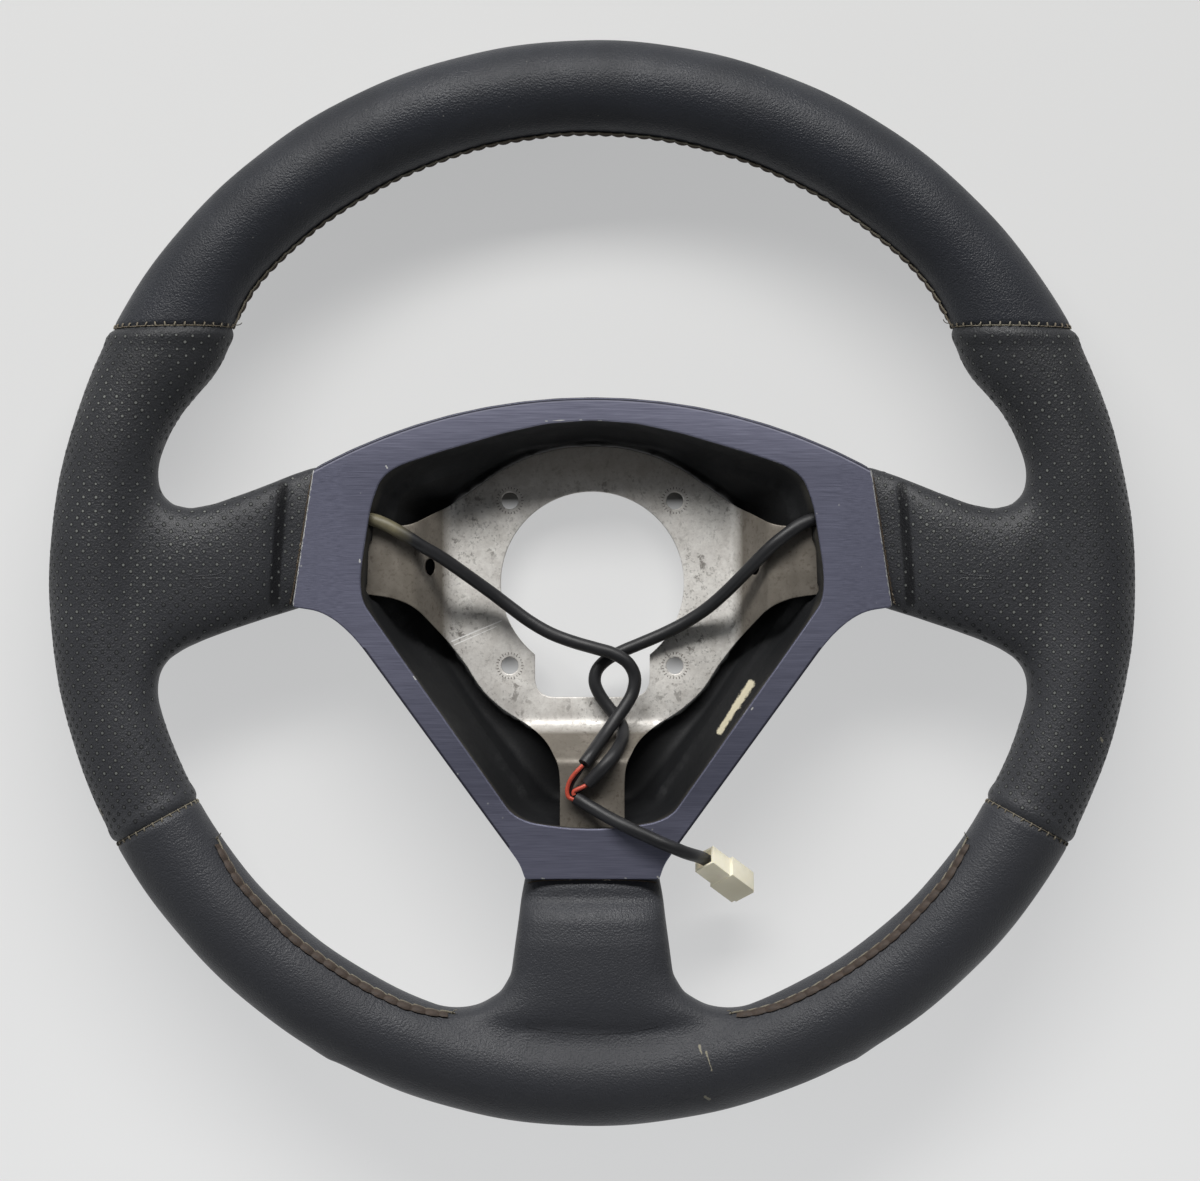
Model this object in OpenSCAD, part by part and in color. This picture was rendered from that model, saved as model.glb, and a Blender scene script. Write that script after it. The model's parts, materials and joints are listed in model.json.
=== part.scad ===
// Three-spoke leather steering wheel with its horn pad taken off.
// Origin: centre of the bolt pattern on the back face of the hub frame.
// +Z runs along the steering axis towards the driver, +Y points to 12 o'clock.

/* [Rim] */
// Radius of the rim's centre line
rim_r = 160; // [152:1:172]
// Diameter of the rim over the leather
rim_d = 30; // [27:0.5:33]
// Height of the rim's centre above the back of the hub frame
rim_z = 22; // [18:0.5:26]
// Diameter of the steel hoop inside the rim
hoop_d = 10; // [8:0.5:12]
// How far the thumb rests swell into the upper window
thumb_h = 6; // [0:0.5:9]
// Angle of the thumb rests above the horizontal
thumb_angle = 30; // [27:0.5:32]
// Angle over which a thumb rest swells and fades
thumb_spread = 7; // [5:0.5:9]

/* [Leather] */
// Thickness of the leather
leather_t = 1.3; // [0.8:0.1:1.8]
// Space between the leather and the foam
glue_gap = 0.3; // [0.2:0.05:0.5]
// Height of the upper seams above the hub centre
upper_seam_y = 82; // [76:1:88]
// Angle of the lower seams below the horizontal
lower_seam_angle = 28.7; // [25:0.1:33]
// Gap between two pieces of leather at a seam
seam_gap = 0.3; // [0.1:0.1:0.6]
// Height of the spoke pads' crown above the leather land at the trim
pad_rise = 8; // [4:0.5:10]
// Half width of the lower spoke at the trim
lower_spoke_w = 21.8; // [18:0.2:26]

/* [Hub frame] */
// Thickness of the hub frame's sheet
sheet_t = 4; // [3:0.25:5]
// Height that the arms rise above the hub plate
arm_rise = 18; // [15:0.5:20]
// Distance from the centre to the foot of each riser
riser_foot = 47.5; // [46:0.5:50]
// Distance from the centre to the top of each riser
riser_top = 60; // [57:0.5:64]
// Width of the arms
arm_w = 21.6; // [18:0.4:24]
// Height of the side arms' centre line above the hub centre
arm_y = 7.5; // [5:0.5:9]
// Radius of the centre hole
hub_hole_r = 30; // [27:0.5:31]
// Half width of the slot below the centre hole
slot_w = 18.8; // [14:0.2:21]
// Depth of the slot's lower edge below the hub centre
slot_y = 37.3; // [34:0.1:39]
// Side of the square of bolt holes
bolt_square = 54; // [50:1:56]
// Radius of the bolt holes
bolt_hole_r = 2.8; // [2.2:0.1:3.4]
// Radius of the clip holes in the side risers
clip_hole_r = 2.7; // [2:0.1:3.2]

/* [Trim frame] */
// Thickness of the trim sheet
trim_t = 2; // [1.2:0.1:2.6]
// Radius of the trim's arched top edge
trim_arc_r = 187; // [170:1:210]
// Height of the arched top edge above the hub centre
trim_top = 59.7; // [58:0.1:62]
// Width of the band above the opening
trim_band = 7.4; // [6:0.2:9]
// Angle that the ends bend down
wing_bend = 4; // [0:0.5:6]
// Distance from the centre to the wings' folds
wing_fold = 79; // [78:0.5:82]

/* [Foam tray] */
// Thickness of the tray's floor below the hub plate
floor_t = 5; // [4:0.5:7]
// Width of the foam lip that shows inside the trim's opening
tray_lip = 1.4; // [0:0.1:2.4]
// Radius of the flat foot that the wheel lies on
foot_r = 60; // [56:1:66]
// Clearance of the boss opening round the hub plate
boss_gap = 0.2; // [0.1:0.1:0.5]

/* [Leads] */
// Diameter of the sheathed leads
lead_d = 4.2; // [3.4:0.1:4.6]
// Diameter of the wires inside them
wire_d = 1.4; // [1:0.1:1.6]
// Length of the connector housing
plug_l = 20.5; // [18:0.5:24]
// Width of the connector housing
plug_w = 9.6; // [8.8:0.2:11]
// Height of the connector housing
plug_h = 7.6; // [7:0.2:9]

/* [Horn switches] */
// Length of a horn foil under a spoke pad
foil_l = 22; // [16:1:24]
// Width of a horn foil
foil_w = 16; // [12:1:18]
// Thickness of a horn foil
foil_t = 0.8; // [0.5:0.1:1.2]

/* [Hidden] */

// Clearance where one rigid piece seats on another
seat_gap = 0.1;
// Thickness of the foam between the arms and the trim
arm_cover = 4;
// Depth of the foam's skin below the outer surface of the leather
foam_inset = leather_t + glue_gap;
// Inner edge of the rim's leather
rim_in = rim_r - rim_d / 2;
// Underside of the trim's flat part, which rests on the tray's walls above the arms
trim_z = arm_rise + sheet_t + arm_cover;
// Left and right ends of the wings, at their upper and lower corners
wing_up = [90, 33.9];
wing_down = [96.5, -7.7];
// Lower end of the trim on the bottom spoke
trim_foot_y = -95.2;
// Fold line of the trim's foot
foot_fold = -80;
// Height of the leather land that the trim's ends overlap
land_z = trim_z - (wing_down[0] - wing_fold) * sin(wing_bend) - 0.25;
// Highest point of the spoke pads
pad_z = land_z + pad_rise;
// Back of the spokes
back_z = rim_z - rim_d / 2 + 2;
// Corners of a rim section, and steps of the rim
rim_sides = 16;
rim_step = 7.5;
// Corners of a spoke section
spoke_sides = 16;
// Spoke sections are between an ellipse, at 2, and a rectangle
squareness = 3;

// Signed power, which gives superellipses
function spow(v, p) = sign(v) * pow(abs(v), p);

// Inner edge of the rim at angle t from 3 o'clock, with the swelling of the thumb rests
function inner_edge(t) = rim_in - thumb_h * exp(-pow((asin(sin(t)) - thumb_angle) / thumb_spread, 2));

// Section of the rim at angle t
function rim_section(t, inset) =
    let (inner = inner_edge(t))
    let (mid = (rim_r + rim_d / 2 + inner) / 2)
    let (half = (rim_r + rim_d / 2 - inner) / 2 - inset)
    [for (k = [0:rim_sides - 1])
        let (u = 360 * k / rim_sides)
        let (r = mid + half * cos(u))
        [r * cos(t), r * sin(t), rim_z + (rim_d / 2 - inset) * sin(u)]];

// Section of a spoke between two points of its edges, from height lo to height hi
function spoke_section(a, b, lo, hi, inset) =
    let (mid = (a + b) / 2)
    let (along = (a - b) / norm(a - b))
    let (half = norm(a - b) / 2 - inset)
    let (tall = (hi - lo) / 2 - inset)
    [for (k = [0:spoke_sides - 1])
        let (u = 360 * k / spoke_sides)
        let (p = mid + along * half * spow(cos(u), 2 / squareness))
        [p[0], p[1], (hi + lo) / 2 + tall * spow(sin(u), 2 / squareness)]];

// Solid between two flat convex sections
module span(a, b) {
    n = len(a);
    hull()
        polyhedron(concat(a, b), [[for (i = [0:n - 1]) i], [for (i = [0:n - 1]) 2 * n - 1 - i]]);
}

module loft(sections)
    for (i = [1:len(sections) - 1])
        span(sections[i - 1], sections[i]);

// Side spoke, from the tray to the rim: share of the way from the trim to the rim,
// fall of the upper edge, fall of the lower edge, height of the front
side_stations = [
    [-0.10, -0.2, -0.8, land_z],
    [0.13, 0.6, 2.8, land_z],
    [0.17, 1.0, 3.4, land_z + 0.5 * pad_rise],
    [0.24, 2.0, 4.6, land_z + 0.8 * pad_rise],
    [0.40, 5.6, 7.2, pad_z],
    [0.58, 9.6, 10.4, pad_z + 0.4],
    [0.72, 11.0, 13.4, pad_z + 0.6],
    [0.83, 9.6, 16.8, pad_z + 0.5],
    [0.92, 4.4, 22.6, pad_z],
    [1.00, -5.6, 31.0, pad_z - 0.5],
    [1.14, -20.0, 44.0, pad_z - 2]
];

function side_section(s, inset) =
    let (xa = wing_up[0] + s[0] * (rim_in - wing_up[0]))
    let (xb = wing_down[0] + s[0] * (rim_in - wing_down[0]))
    spoke_section([xa, wing_up[1] - s[1]], [xb, wing_down[1] - s[2]], back_z, s[3], inset);

// Lower spoke: share of the way from the trim to the rim, half width as a share of the
// width at the trim, height of the front
lower_stations = [
    [-0.06, 0.99, land_z],
    [0.15, 1.06, land_z],
    [0.18, 1.07, land_z + 0.5 * pad_rise],
    [0.26, 1.09, land_z + 0.8 * pad_rise],
    [0.42, 1.14, pad_z],
    [0.62, 1.20, pad_z + 0.4],
    [0.74, 1.36, pad_z + 0.5],
    [0.82, 1.66, pad_z + 0.4],
    [0.88, 2.1, pad_z],
    [1.12, 3.2, pad_z - 2]
];

function lower_section(s, inset) =
    let (y = trim_foot_y - s[0] * (rim_in + trim_foot_y))
    let (w = s[1] * lower_spoke_w)
    spoke_section([w, y], [-w, y], back_z, s[2], inset);

module side_spoke(inset, start = 0)
    loft(concat(
        start == 0 ? [] : [side_section([start, 0, 0, land_z], inset)],
        [for (s = side_stations) side_section(s, inset)]));

module lower_spoke(inset, start = 0)
    loft(concat(
        start == 0 ? [] : [lower_section([start, 0.98, land_z], inset)],
        [for (s = lower_stations) lower_section(s, inset)]));

// Rim between two of its steps, thumb rests and all
module rim_form(inset, from, to)
    loft([for (i = [from:to]) rim_section(i * rim_step, inset)]);

// Half space above the upper seams, a gap's half away from them
module above_seams(gap)
    translate([-1.2 * (rim_r + rim_d), upper_seam_y + gap, rim_z - rim_d])
        cube([2.4 * (rim_r + rim_d), rim_r + rim_d, 2 * rim_d]);

// Everything below the two lower seams
module below_seams(gap)
    translate([0, -gap, rim_z - rim_d])
        linear_extrude(height = 2 * rim_d)
            polygon([
                [0, 0],
                2 * rim_r * [-cos(lower_seam_angle), -sin(lower_seam_angle)],
                2 * rim_r * [-cos(lower_seam_angle), -1.2],
                2 * rim_r * [cos(lower_seam_angle), -1.2],
                2 * rim_r * [cos(lower_seam_angle), -sin(lower_seam_angle)]
            ]);

// Leather round a side spoke and the thumb rest, stitched on as one piece
module grip_form(inset) {
    rim_form(inset, inset > 0 ? -6 : -5, inset > 0 ? 7 : 6);
    side_spoke(inset, inset > 0 ? -0.2 : 0);
}

module grip_right()
    color("#3a3c3f")
        difference() {
            grip_form(0);
            grip_form(leather_t);
            above_seams(-seam_gap / 2);
            below_seams(-seam_gap / 2);
        }

module grip_left()
    mirror([1, 0, 0]) grip_right();

module leather_top()
    color("#393b3e")
        intersection() {
            difference() {
                rim_form(0, 2, 22);
                rim_form(leather_t, 1, 23);
            }
            above_seams(seam_gap / 2);
        }

module bottom_form(inset) {
    rim_form(inset, inset > 0 ? 25 : 26, inset > 0 ? 47 : 46);
    lower_spoke(inset, inset > 0 ? -0.12 : 0);
}

module leather_bottom()
    color("#393b3e")
        intersection() {
            difference() {
                bottom_form(0);
                bottom_form(leather_t);
            }
            below_seams(seam_gap / 2);
        }

// Radius to which the hub plate's outline is rounded
hub_round = 30;
// Outline of the hub plate's right half, from 12 o'clock down to the lower arm
hub_half = [
    [0, 44.9], [9, 44.5], [19.8, 41.9], [30.3, 36.7], [41.1, 29.1], [riser_foot, 24.8],
    [riser_foot, -18.8], [41.1, -27.2], [35.9, -35.7], [28.3, -42.2], [19.8, -47.2], [19.3, -riser_foot],
    [0, -riser_foot]
];
module hub_outline()
    polygon(rounded(closed_sides(hub_half), hub_round));

// Half of a side arm's outline above and below its centre line, and of the lower arm
arm_up = arm_y + arm_w / 2;
arm_down = arm_y - arm_w / 2;
// Width that the side arms lose inside the spokes
arm_taper = 3;

function both_sides(half) = concat(half, [for (i = [len(half) - 1:-1:0]) [-half[i][0], half[i][1]]]);

// Closed outline from a half whose two ends lie on the middle line
function closed_sides(half) = concat(half, [for (i = [len(half) - 2:-1:1]) [-half[i][0], half[i][1]]]);

// Outline with each corner rounded to a radius, or as far as its edges allow
function rounded(points, radius, steps = 3) =
    let (n = len(points))
    [for (i = [0:n - 1])
        let (p = points[i])
        let (a = points[(i + n - 1) % n] - p)
        let (b = points[(i + 1) % n] - p)
        let (turn = 180 - acos(max(-1, min(1, a * b / (norm(a) * norm(b))))))
        let (take = min(radius * tan(min(turn, 170) / 2), 0.48 * norm(a), 0.48 * norm(b)))
        each (turn < 1 || take < 0.2 ? [p] : [for (k = [0:steps])
            let (u = k / steps)
            pow(1 - u, 2) * (p + a / norm(a) * take) + 2 * u * (1 - u) * p + u * u * (p + b / norm(b) * take)])];

// Bent sheet seen from the side: hub plate, riser and arm out to distance far
function bent_sheet(far, grow) = [
    [riser_foot - 6, 0 - grow], [riser_foot, 0 - grow], [riser_foot + 1.5, 0.9 - grow],
    [riser_top - 1.5, arm_rise - 0.9 - grow], [riser_top, arm_rise - grow], [far, arm_rise - grow],
    [far, arm_rise + sheet_t + grow], [riser_top - 2, arm_rise + sheet_t + grow],
    [riser_top - 3.7, arm_rise + sheet_t - 1 + grow], [riser_foot - 0.6, sheet_t + 1.2 + grow],
    [riser_foot - 2.6, sheet_t + grow], [riser_foot - 6, sheet_t + grow]
];

module side_arm(grow = 0)
    intersection() {
        rotate([90, 0, 0])
            linear_extrude(height = 4 * arm_w, center = true)
                polygon(bent_sheet(rim_r, grow));
        translate([0, 0, -floor_t])
            linear_extrude(height = trim_z + floor_t)
                polygon([
                    [riser_foot, 24.8 + grow], [riser_foot + 3, 23.2 + grow], [riser_top - 2, arm_up + 0.6 + grow],
                    [riser_top + 4, arm_up + grow], [rim_r, arm_up + grow],
                    [rim_r, arm_down + arm_taper - grow], [riser_top + 26, arm_down + arm_taper - grow],
                    [riser_top + 16, arm_down - grow], [riser_top + 4, arm_down - 1.6 - grow],
                    [riser_top - 3, arm_down - 4.6 - grow], [riser_foot, -18.8 - grow]
                ]);
    }

module lower_arm(grow = 0)
    intersection() {
        rotate([90, 0, -90])
            linear_extrude(height = 4 * arm_w, center = true)
                polygon(bent_sheet(rim_r, grow));
        translate([0, 0, -floor_t])
            linear_extrude(height = trim_z + floor_t)
                polygon(both_sides([
                    [19.3 + grow, -riser_foot], [14.6 + grow, -riser_foot - 4.2],
                    [arm_w / 2 + grow, -riser_top + 1], [arm_w / 2 - 0.4 + grow, -riser_top - 5],
                    [arm_w / 2 + 0.2 + grow, -rim_r]
                ]));
    }

module hoop(r)
    rotate_extrude($fn = 96)
        translate([rim_r, rim_z])
            circle(r = r, $fn = 32);

module hub_frame()
    color("#b9b5b0")
        difference() {
            union() {
                linear_extrude(height = sheet_t)
                    hub_outline();
                side_arm();
                mirror([1, 0, 0]) side_arm();
                lower_arm();
            }
            hoop(hoop_d / 2 + seat_gap);
            translate([0, 0, -1]) cylinder(r = hub_hole_r, h = sheet_t + 2, $fn = 96);
            hub_slot();
            for (x = [-1, 1], y = [-1, 1])
                translate([x * bolt_square / 2, y * bolt_square / 2, -1])
                    cylinder(r = bolt_hole_r, h = sheet_t + 2, $fn = 32);
            for (side = [0, 1])
                mirror([side, 0, 0]) clip_hole();
        }

// Slot that opens the centre hole downwards, with rounded lower corners
module hub_slot() {
    corner = 7;
    translate([-slot_w, -slot_y + corner, -1])
        cube([2 * slot_w, slot_y - corner, sheet_t + 2]);
    translate([-slot_w + corner, -slot_y, -1])
        cube([2 * (slot_w - corner), corner + 1, sheet_t + 2]);
    for (side = [-1, 1])
        translate([side * (slot_w - corner), -slot_y + corner, -1])
            cylinder(r = corner, h = sheet_t + 2, $fn = 32);
}

// Clip hole, square to the riser's slope
module clip_hole() {
    slope = atan2(arm_rise, riser_top - riser_foot);
    translate([(riser_foot + riser_top) / 2 - 1, arm_y - 2.2, (arm_rise + sheet_t) / 2])
        rotate([0, -slope, 0])
            cylinder(r = clip_hole_r, h = 5 * sheet_t, center = true, $fn = 32);
}

module rim_hoop()
    color("#5c5c5e")
        hoop(hoop_d / 2);

// Radius to which the trim's opening and waist are rounded
opening_round = 40;
// Outline of the trim's opening, right half
opening_top = trim_top - trim_band;
opening_half = [
    [0, opening_top], [14.2, opening_top - 1], [28.7, opening_top - 4.2], [49.7, opening_top - 10.4],
    [62.3, opening_top - 14.6], [67.7, opening_top - 18.4], [71, opening_top - 26.8], [73.9, 6.8],
    [74.5, 0.3], [73.8, -6], [69.2, -12.7], [26, -74.2], [20.4, -76.9], [14.2, -77.9], [7.7, -78.7],
    [0, -79]
];

// Arched top edge of the trim out to distance far from the middle
function trim_arc(far, steps, drop = 0) =
    [for (i = [0:steps])
        let (a = asin(far / trim_arc_r) * i / steps)
        [trim_arc_r * sin(a), trim_top - trim_arc_r * (1 - cos(a)) - drop]];

// Lower edge of the trim between a wing and the foot
trim_waist = [[88, -9], [82.6, -11.9], [77.1, -16.8], [73.2, -21.6], [27.4, -84.5], [23.2, -90.4]];

trim_half = concat(
    trim_arc(87, 12),
    [wing_up, wing_down],
    [for (p = rounded(concat([wing_down], trim_waist, [[21.6, trim_foot_y]]), opening_round))
        if (p[1] < wing_down[1] - 0.5 && p[1] > trim_foot_y + 0.5) p],
    [[21.6, trim_foot_y], [0, trim_foot_y]]);

module trim_opening()
    polygon(rounded(closed_sides(opening_half), opening_round));

// The trim seen from the front, as a tall prism
module trim_plan()
    translate([0, 0, trim_z - 5])
        linear_extrude(height = trim_t + 10)
            difference() {
                polygon(closed_sides(trim_half));
                trim_opening();
            }

// Heights of a sheet that bends down at distance fold, from low to high, out to distance far
function bent_end(fold, far, low, high) =
    let (drop = (far - fold) * tan(wing_bend))
    [[fold, low], [far, low - drop], [far, high - drop], [fold, high]];

module trim_frame()
    color("#5d5f73") {
        intersection() {
            trim_plan();
            rotate([90, 0, -90])
                linear_extrude(height = 120, center = true)
                    polygon(concat(
                        [[-foot_fold - 1, trim_z]],
                        bent_end(-foot_fold, 120, trim_z, trim_z + trim_t),
                        [[-foot_fold - 1, trim_z + trim_t]]));
        }
        intersection() {
            trim_plan();
            translate([0, foot_fold, 0])
                rotate([90, 0, 180])
                    linear_extrude(height = 160)
                        polygon(both_sides(bent_end(wing_fold, 120, trim_z, trim_z + trim_t)));
        }
    }

// Outline of the tray's rim under the trim's flat part
tray_half = concat(trim_arc(76, 6, 1), [[76, -16.5], [30.1, -79.6], [0, -79.6]]);
// Its lower edge, which falls away under the trim's foot
tray_foot = [26.5, 84.5];
tray_foot_drop = 0.6;
// Outline of the tray's floor round the hub plate
floor_half = [
    [0, 46.5], [20, 43.5], [40, 32], [50, 25], [53, 0], [50, -21], [38, -40], [24, -58], [16, -68], [12, -71], [0, -71]
];

// Rounded toe of the tray under the lower arm
toe_y = -57;
toe_r = 22;

module tray_outside()
    hull() {
        translate([0, 0, trim_z - seat_gap - 1])
            linear_extrude(height = 1) polygon(both_sides(tray_half));
        translate([-tray_foot[0], -tray_foot[1] - 1, trim_z - seat_gap - tray_foot_drop - 1])
            cube([2 * tray_foot[0], 1, 1]);
        translate([0, 0, -floor_t])
            cylinder(r = foot_r, h = 3, $fn = 48);
        translate([0, toe_y, -floor_t / 2])
            cylinder(r = toe_r, h = 2, $fn = 32);
    }

module tray_inside()
    hull() {
        translate([0, 0, trim_z - seat_gap])
            linear_extrude(height = 1) offset(delta = -tray_lip) trim_opening();
        linear_extrude(height = 0.5) polygon(both_sides(floor_half));
    }

module horn_pocket(grow)
    translate([horn_x - foil_l / 2 - grow, horn_y - foil_w / 2 - grow, horn_z - min(grow, seat_gap)])
        cube([foil_l + 2 * grow, foil_w + 2 * grow, grow > 0 ? pad_rise : foil_t]);

// Height of a side spoke's front at a share of the way from the trim to the rim
function side_front(share) = lookup(share, [for (s = side_stations) [s[0], s[3]]]);

// Place of a horn foil under the right pad, below the leather at both of its ends
horn_x = wing_up[0] + 0.6 * (rim_in - wing_up[0]);
horn_y = 2.6;
horn_cover = 2.4;
horn_start = (horn_x - foil_l / 2 - wing_up[0]) / (rim_in - wing_up[0]);
horn_z = min(pad_z, side_front(horn_start)) - foam_inset - foil_t - horn_cover;

module foam_body()
    color("#2b2d30")
        difference() {
            union() {
                tray_outside();
                rim_form(foam_inset, 0, 360 / rim_step);
                side_spoke(foam_inset, -0.5);
                mirror([1, 0, 0]) side_spoke(foam_inset, -0.5);
                lower_spoke(foam_inset, -0.3);
            }
            tray_inside();
            translate([0, 0, -floor_t - 1])
                linear_extrude(height = floor_t + 2)
                    offset(delta = boss_gap) hub_outline();
            rotate_extrude($fn = 360 / rim_step)
                translate([rim_r, rim_z])
                    circle(r = hoop_d / 2 + 0.6, $fn = 12);
            side_arm(seat_gap);
            mirror([1, 0, 0]) side_arm(seat_gap);
            lower_arm(seat_gap);
            horn_pocket(0.3);
            mirror([1, 0, 0]) horn_pocket(0.3);
            for (route = [lead_left_route, lead_right_route])
                tube([for (i = [0:4]) route[i]], lead_d + 4 * seat_gap);
        }

module horn_switch_right()
    color("#c9c4b4")
        horn_pocket(0);

module horn_switch_left()
    color("#c9c4b4")
        mirror([1, 0, 0]) horn_pocket(0);

// Routes of the leads, from the trim's edge to the splice on the lower arm
lead_left_route = [
    [-77, 21.4, 22], [-73.5, 21, 22.8], [-70.5, 20.4, 23.8], [-66.8, 19, 25], [-63, 17, 25.4],
    [-59, 14.6, 25.2], [-55, 12, 23.8], [-49.5, 8.8, 20.4], [-44, 5, 17], [-38.5, 1, 13.8],
    [-33, -3, 11.4], [-27, -7.6, 10], [-20.5, -12.4, 9.6], [-13.5, -16.4, 10], [-6, -19.2, 10.8],
    [1, -21.2, 11.4], [7, -23, 11.6], [11.6, -26, 11.4], [13.8, -30.4, 11], [13.2, -35.4, 11],
    [10.6, -40.2, 12.2], [7.2, -44.8, 13.8], [4, -49.2, 16.8], [1.4, -52.8, 20.6],
    [-0.8, -55.8, 23.8], [-2.6, -58.2, 25.2]
];
lead_right_route = [
    [77, 21.4, 22], [73.5, 20.9, 22.8], [70.5, 20.3, 23.8], [66.6, 18.6, 25], [62.6, 15.8, 25.4],
    [58.8, 12.8, 25.2], [55, 9.2, 23.8], [51.2, 5.2, 20.8], [47.2, 1, 17], [42.4, -3.8, 13.4],
    [36.8, -8.6, 10.2], [30.4, -12.8, 8], [23.4, -16.4, 7], [16, -19.6, 6.8], [9.4, -22.4, 6.7],
    [4.4, -25.2, 6.7], [1.4, -28.6, 6.7], [0.8, -32.4, 6.7], [2.4, -36.4, 6.7], [5.2, -40.4, 6.7],
    [8, -44, 7.4], [9.8, -47.2, 10.8], [9.8, -50.2, 15.4], [8.4, -53.2, 20.4], [6.2, -56.2, 24.8],
    [3.4, -59.4, 26], [0.8, -62.2, 25.2], [-1.4, -64.6, 24.4]
];
lead_main_route = [
    [-5.4, -69.2, 24.3], [-2.4, -71, 24.9], [1.6, -73.2, 26.4], [6, -75.6, 28.6], [10.4, -77.8, 30.4],
    [14.6, -79.8, 30.8], [18.6, -81.6, 30.8], [22.6, -83.4, 30.9], [26.4, -85, 30.2], [29.6, -86.4, 28.6],
    [32.2, -87.4, 25.8], [34, -88.1, 22.6], [35.5, -88.8, 19.9], [37.1, -89.8, 17.9]
];
// Connector: place and direction of its rear face
plug_at = [36.2, -89.2, 18.4];
plug_turn = -38;
plug_pitch = 33;
plug_roll = 36;

function unit(v) = v / norm(v);

// Direction of a route at point i
function heading(r, i) = unit(r[min(i + 1, len(r) - 1)] - r[max(i - 1, 0)]);

// Ring of corners round point i, square to the route
function tube_ring(r, i, d, sides) =
    let (h = heading(r, i))
    let (a = unit(cross(h, abs(h[2]) > 0.95 ? [1, 0, 0] : [0, 0, 1])))
    let (b = cross(a, h))
    [for (k = [0:sides - 1]) r[i] + d / 2 * (a * cos(360 * k / sides) + b * sin(360 * k / sides))];

module tube(r, d, sides = 8) {
    n = len(r);
    points = [for (i = [0:n - 1]) each tube_ring(r, i, d, sides)];
    sleeve = [for (i = [0:n - 2], k = [0:sides - 1])
        let (next = (k + 1) % sides)
        [i * sides + k, i * sides + next, (i + 1) * sides + next, (i + 1) * sides + k]];
    polyhedron(points, concat(
        [[for (k = [sides - 1:-1:0]) k]],
        sleeve,
        [[for (k = [0:sides - 1]) (n - 1) * sides + k]]));
}

module lead_left() color("#26272a") tube(lead_left_route, lead_d);
module lead_right() color("#26272a") tube(lead_right_route, lead_d);
module lead_main() color("#26272a") tube(lead_main_route, lead_d);

// Wires between the leads' cut ends and the start of the main lead
wire_red_left_route = [
    [-3, -58.6, 26], [-4.8, -60.4, 26.2], [-6.6, -62.6, 25.8], [-7.8, -65.2, 25.2], [-8.1, -67.4, 25],
    [-7.5, -69, 25], [-6.1, -69.7, 25]
];
wire_black_left_route = [
    [-2.8, -58.8, 24.6], [-4, -60.8, 24.6], [-5.4, -62.9, 24.4], [-6.6, -65, 23.9], [-7.2, -67, 23.6],
    [-7.1, -68.8, 23.5], [-6.1, -69.6, 23.5]
];
wire_red_right_route = [
    [-1.9, -65, 25.3], [-3.2, -65.7, 25.6], [-4.8, -66.4, 25.5], [-6, -67.2, 25.3], [-5.9, -68.2, 25.2]
];
wire_black_right_route = [
    [-1.9, -65.2, 23.7], [-3, -66.2, 23.5], [-4.2, -66.9, 23.3], [-5.4, -67.4, 23.2], [-5.8, -68.4, 23.4]
];

module wire_red_left() color("#b5402c") tube(wire_red_left_route, wire_d);
module wire_black_left() color("#1f2022") tube(wire_black_left_route, wire_d);
module wire_red_right() color("#b5402c") tube(wire_red_right_route, wire_d);
module wire_black_right() color("#1f2022") tube(wire_black_right_route, wire_d);

// Puts a piece drawn along +X at the connector's place
module at_plug()
    translate(plug_at)
        rotate([0, 0, plug_turn])
            rotate([0, plug_pitch, 0])
                rotate([plug_roll, 0, 0])
                    children();

// Wall of the housing, depth of its open rear, and the cavities for the two terminals
plug_wall = 0.9;
plug_cup = 6;
cavity = 2.9;
cavity_y = (cavity + plug_wall) / 2;
// Share of the housing's length where its front steps out
plug_step = 0.42;

module plug_body(from, to, w, h)
    translate([from, -w / 2, -h / 2])
        cube([to - from, w, h]);

module connector_housing()
    color("#b3ab9a")
        at_plug()
            difference() {
                union() {
                    plug_body(0, plug_l, plug_w - 2, plug_h - 0.6);
                    plug_body(plug_step * plug_l, plug_l - 1, plug_w, plug_h);
                }
                plug_body(-1, plug_cup, plug_w - 2 - 2 * plug_wall, plug_h - 0.6 - 2 * plug_wall);
                for (side = [-1, 1])
                    translate([plug_cup - 1, side * cavity_y - cavity / 2, -cavity / 2])
                        cube([plug_l, cavity, cavity]);
            }

module connector_terminals()
    color("#a98f4e")
        at_plug()
            for (side = [-1, 1])
                translate([plug_cup + 0.5, side * cavity_y, 0])
                    difference() {
                        translate([0, -cavity / 2 + seat_gap, -cavity / 2 + seat_gap])
                            cube([0.6 * plug_l, cavity - 2 * seat_gap, cavity - 2 * seat_gap]);
                        translate([-1, 0, 0])
                            rotate([0, 90, 0])
                                cylinder(r = 1, h = plug_l, $fn = 24);
                    }

hub_frame();
rim_hoop();
foam_body();
leather_top();
leather_bottom();
grip_left();
grip_right();
trim_frame();
horn_switch_left();
horn_switch_right();
lead_left();
lead_right();
lead_main();
wire_red_left();
wire_black_left();
wire_red_right();
wire_black_right();
connector_housing();
connector_terminals();
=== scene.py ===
"""Looks of a leather steering wheel that lies on a pale table with its horn pad off.

Frame: origin at the centre of the bolt pattern on the back of the hub frame, +Z towards the
driver, +Y to 12 o'clock. Sizes are in millimetres and are turned into metres by MM.
"""

import json
import math
from contextlib import contextmanager

import bmesh
import bpy
import numpy as np
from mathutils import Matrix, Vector
from mathutils.geometry import delaunay_2d_cdt

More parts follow.
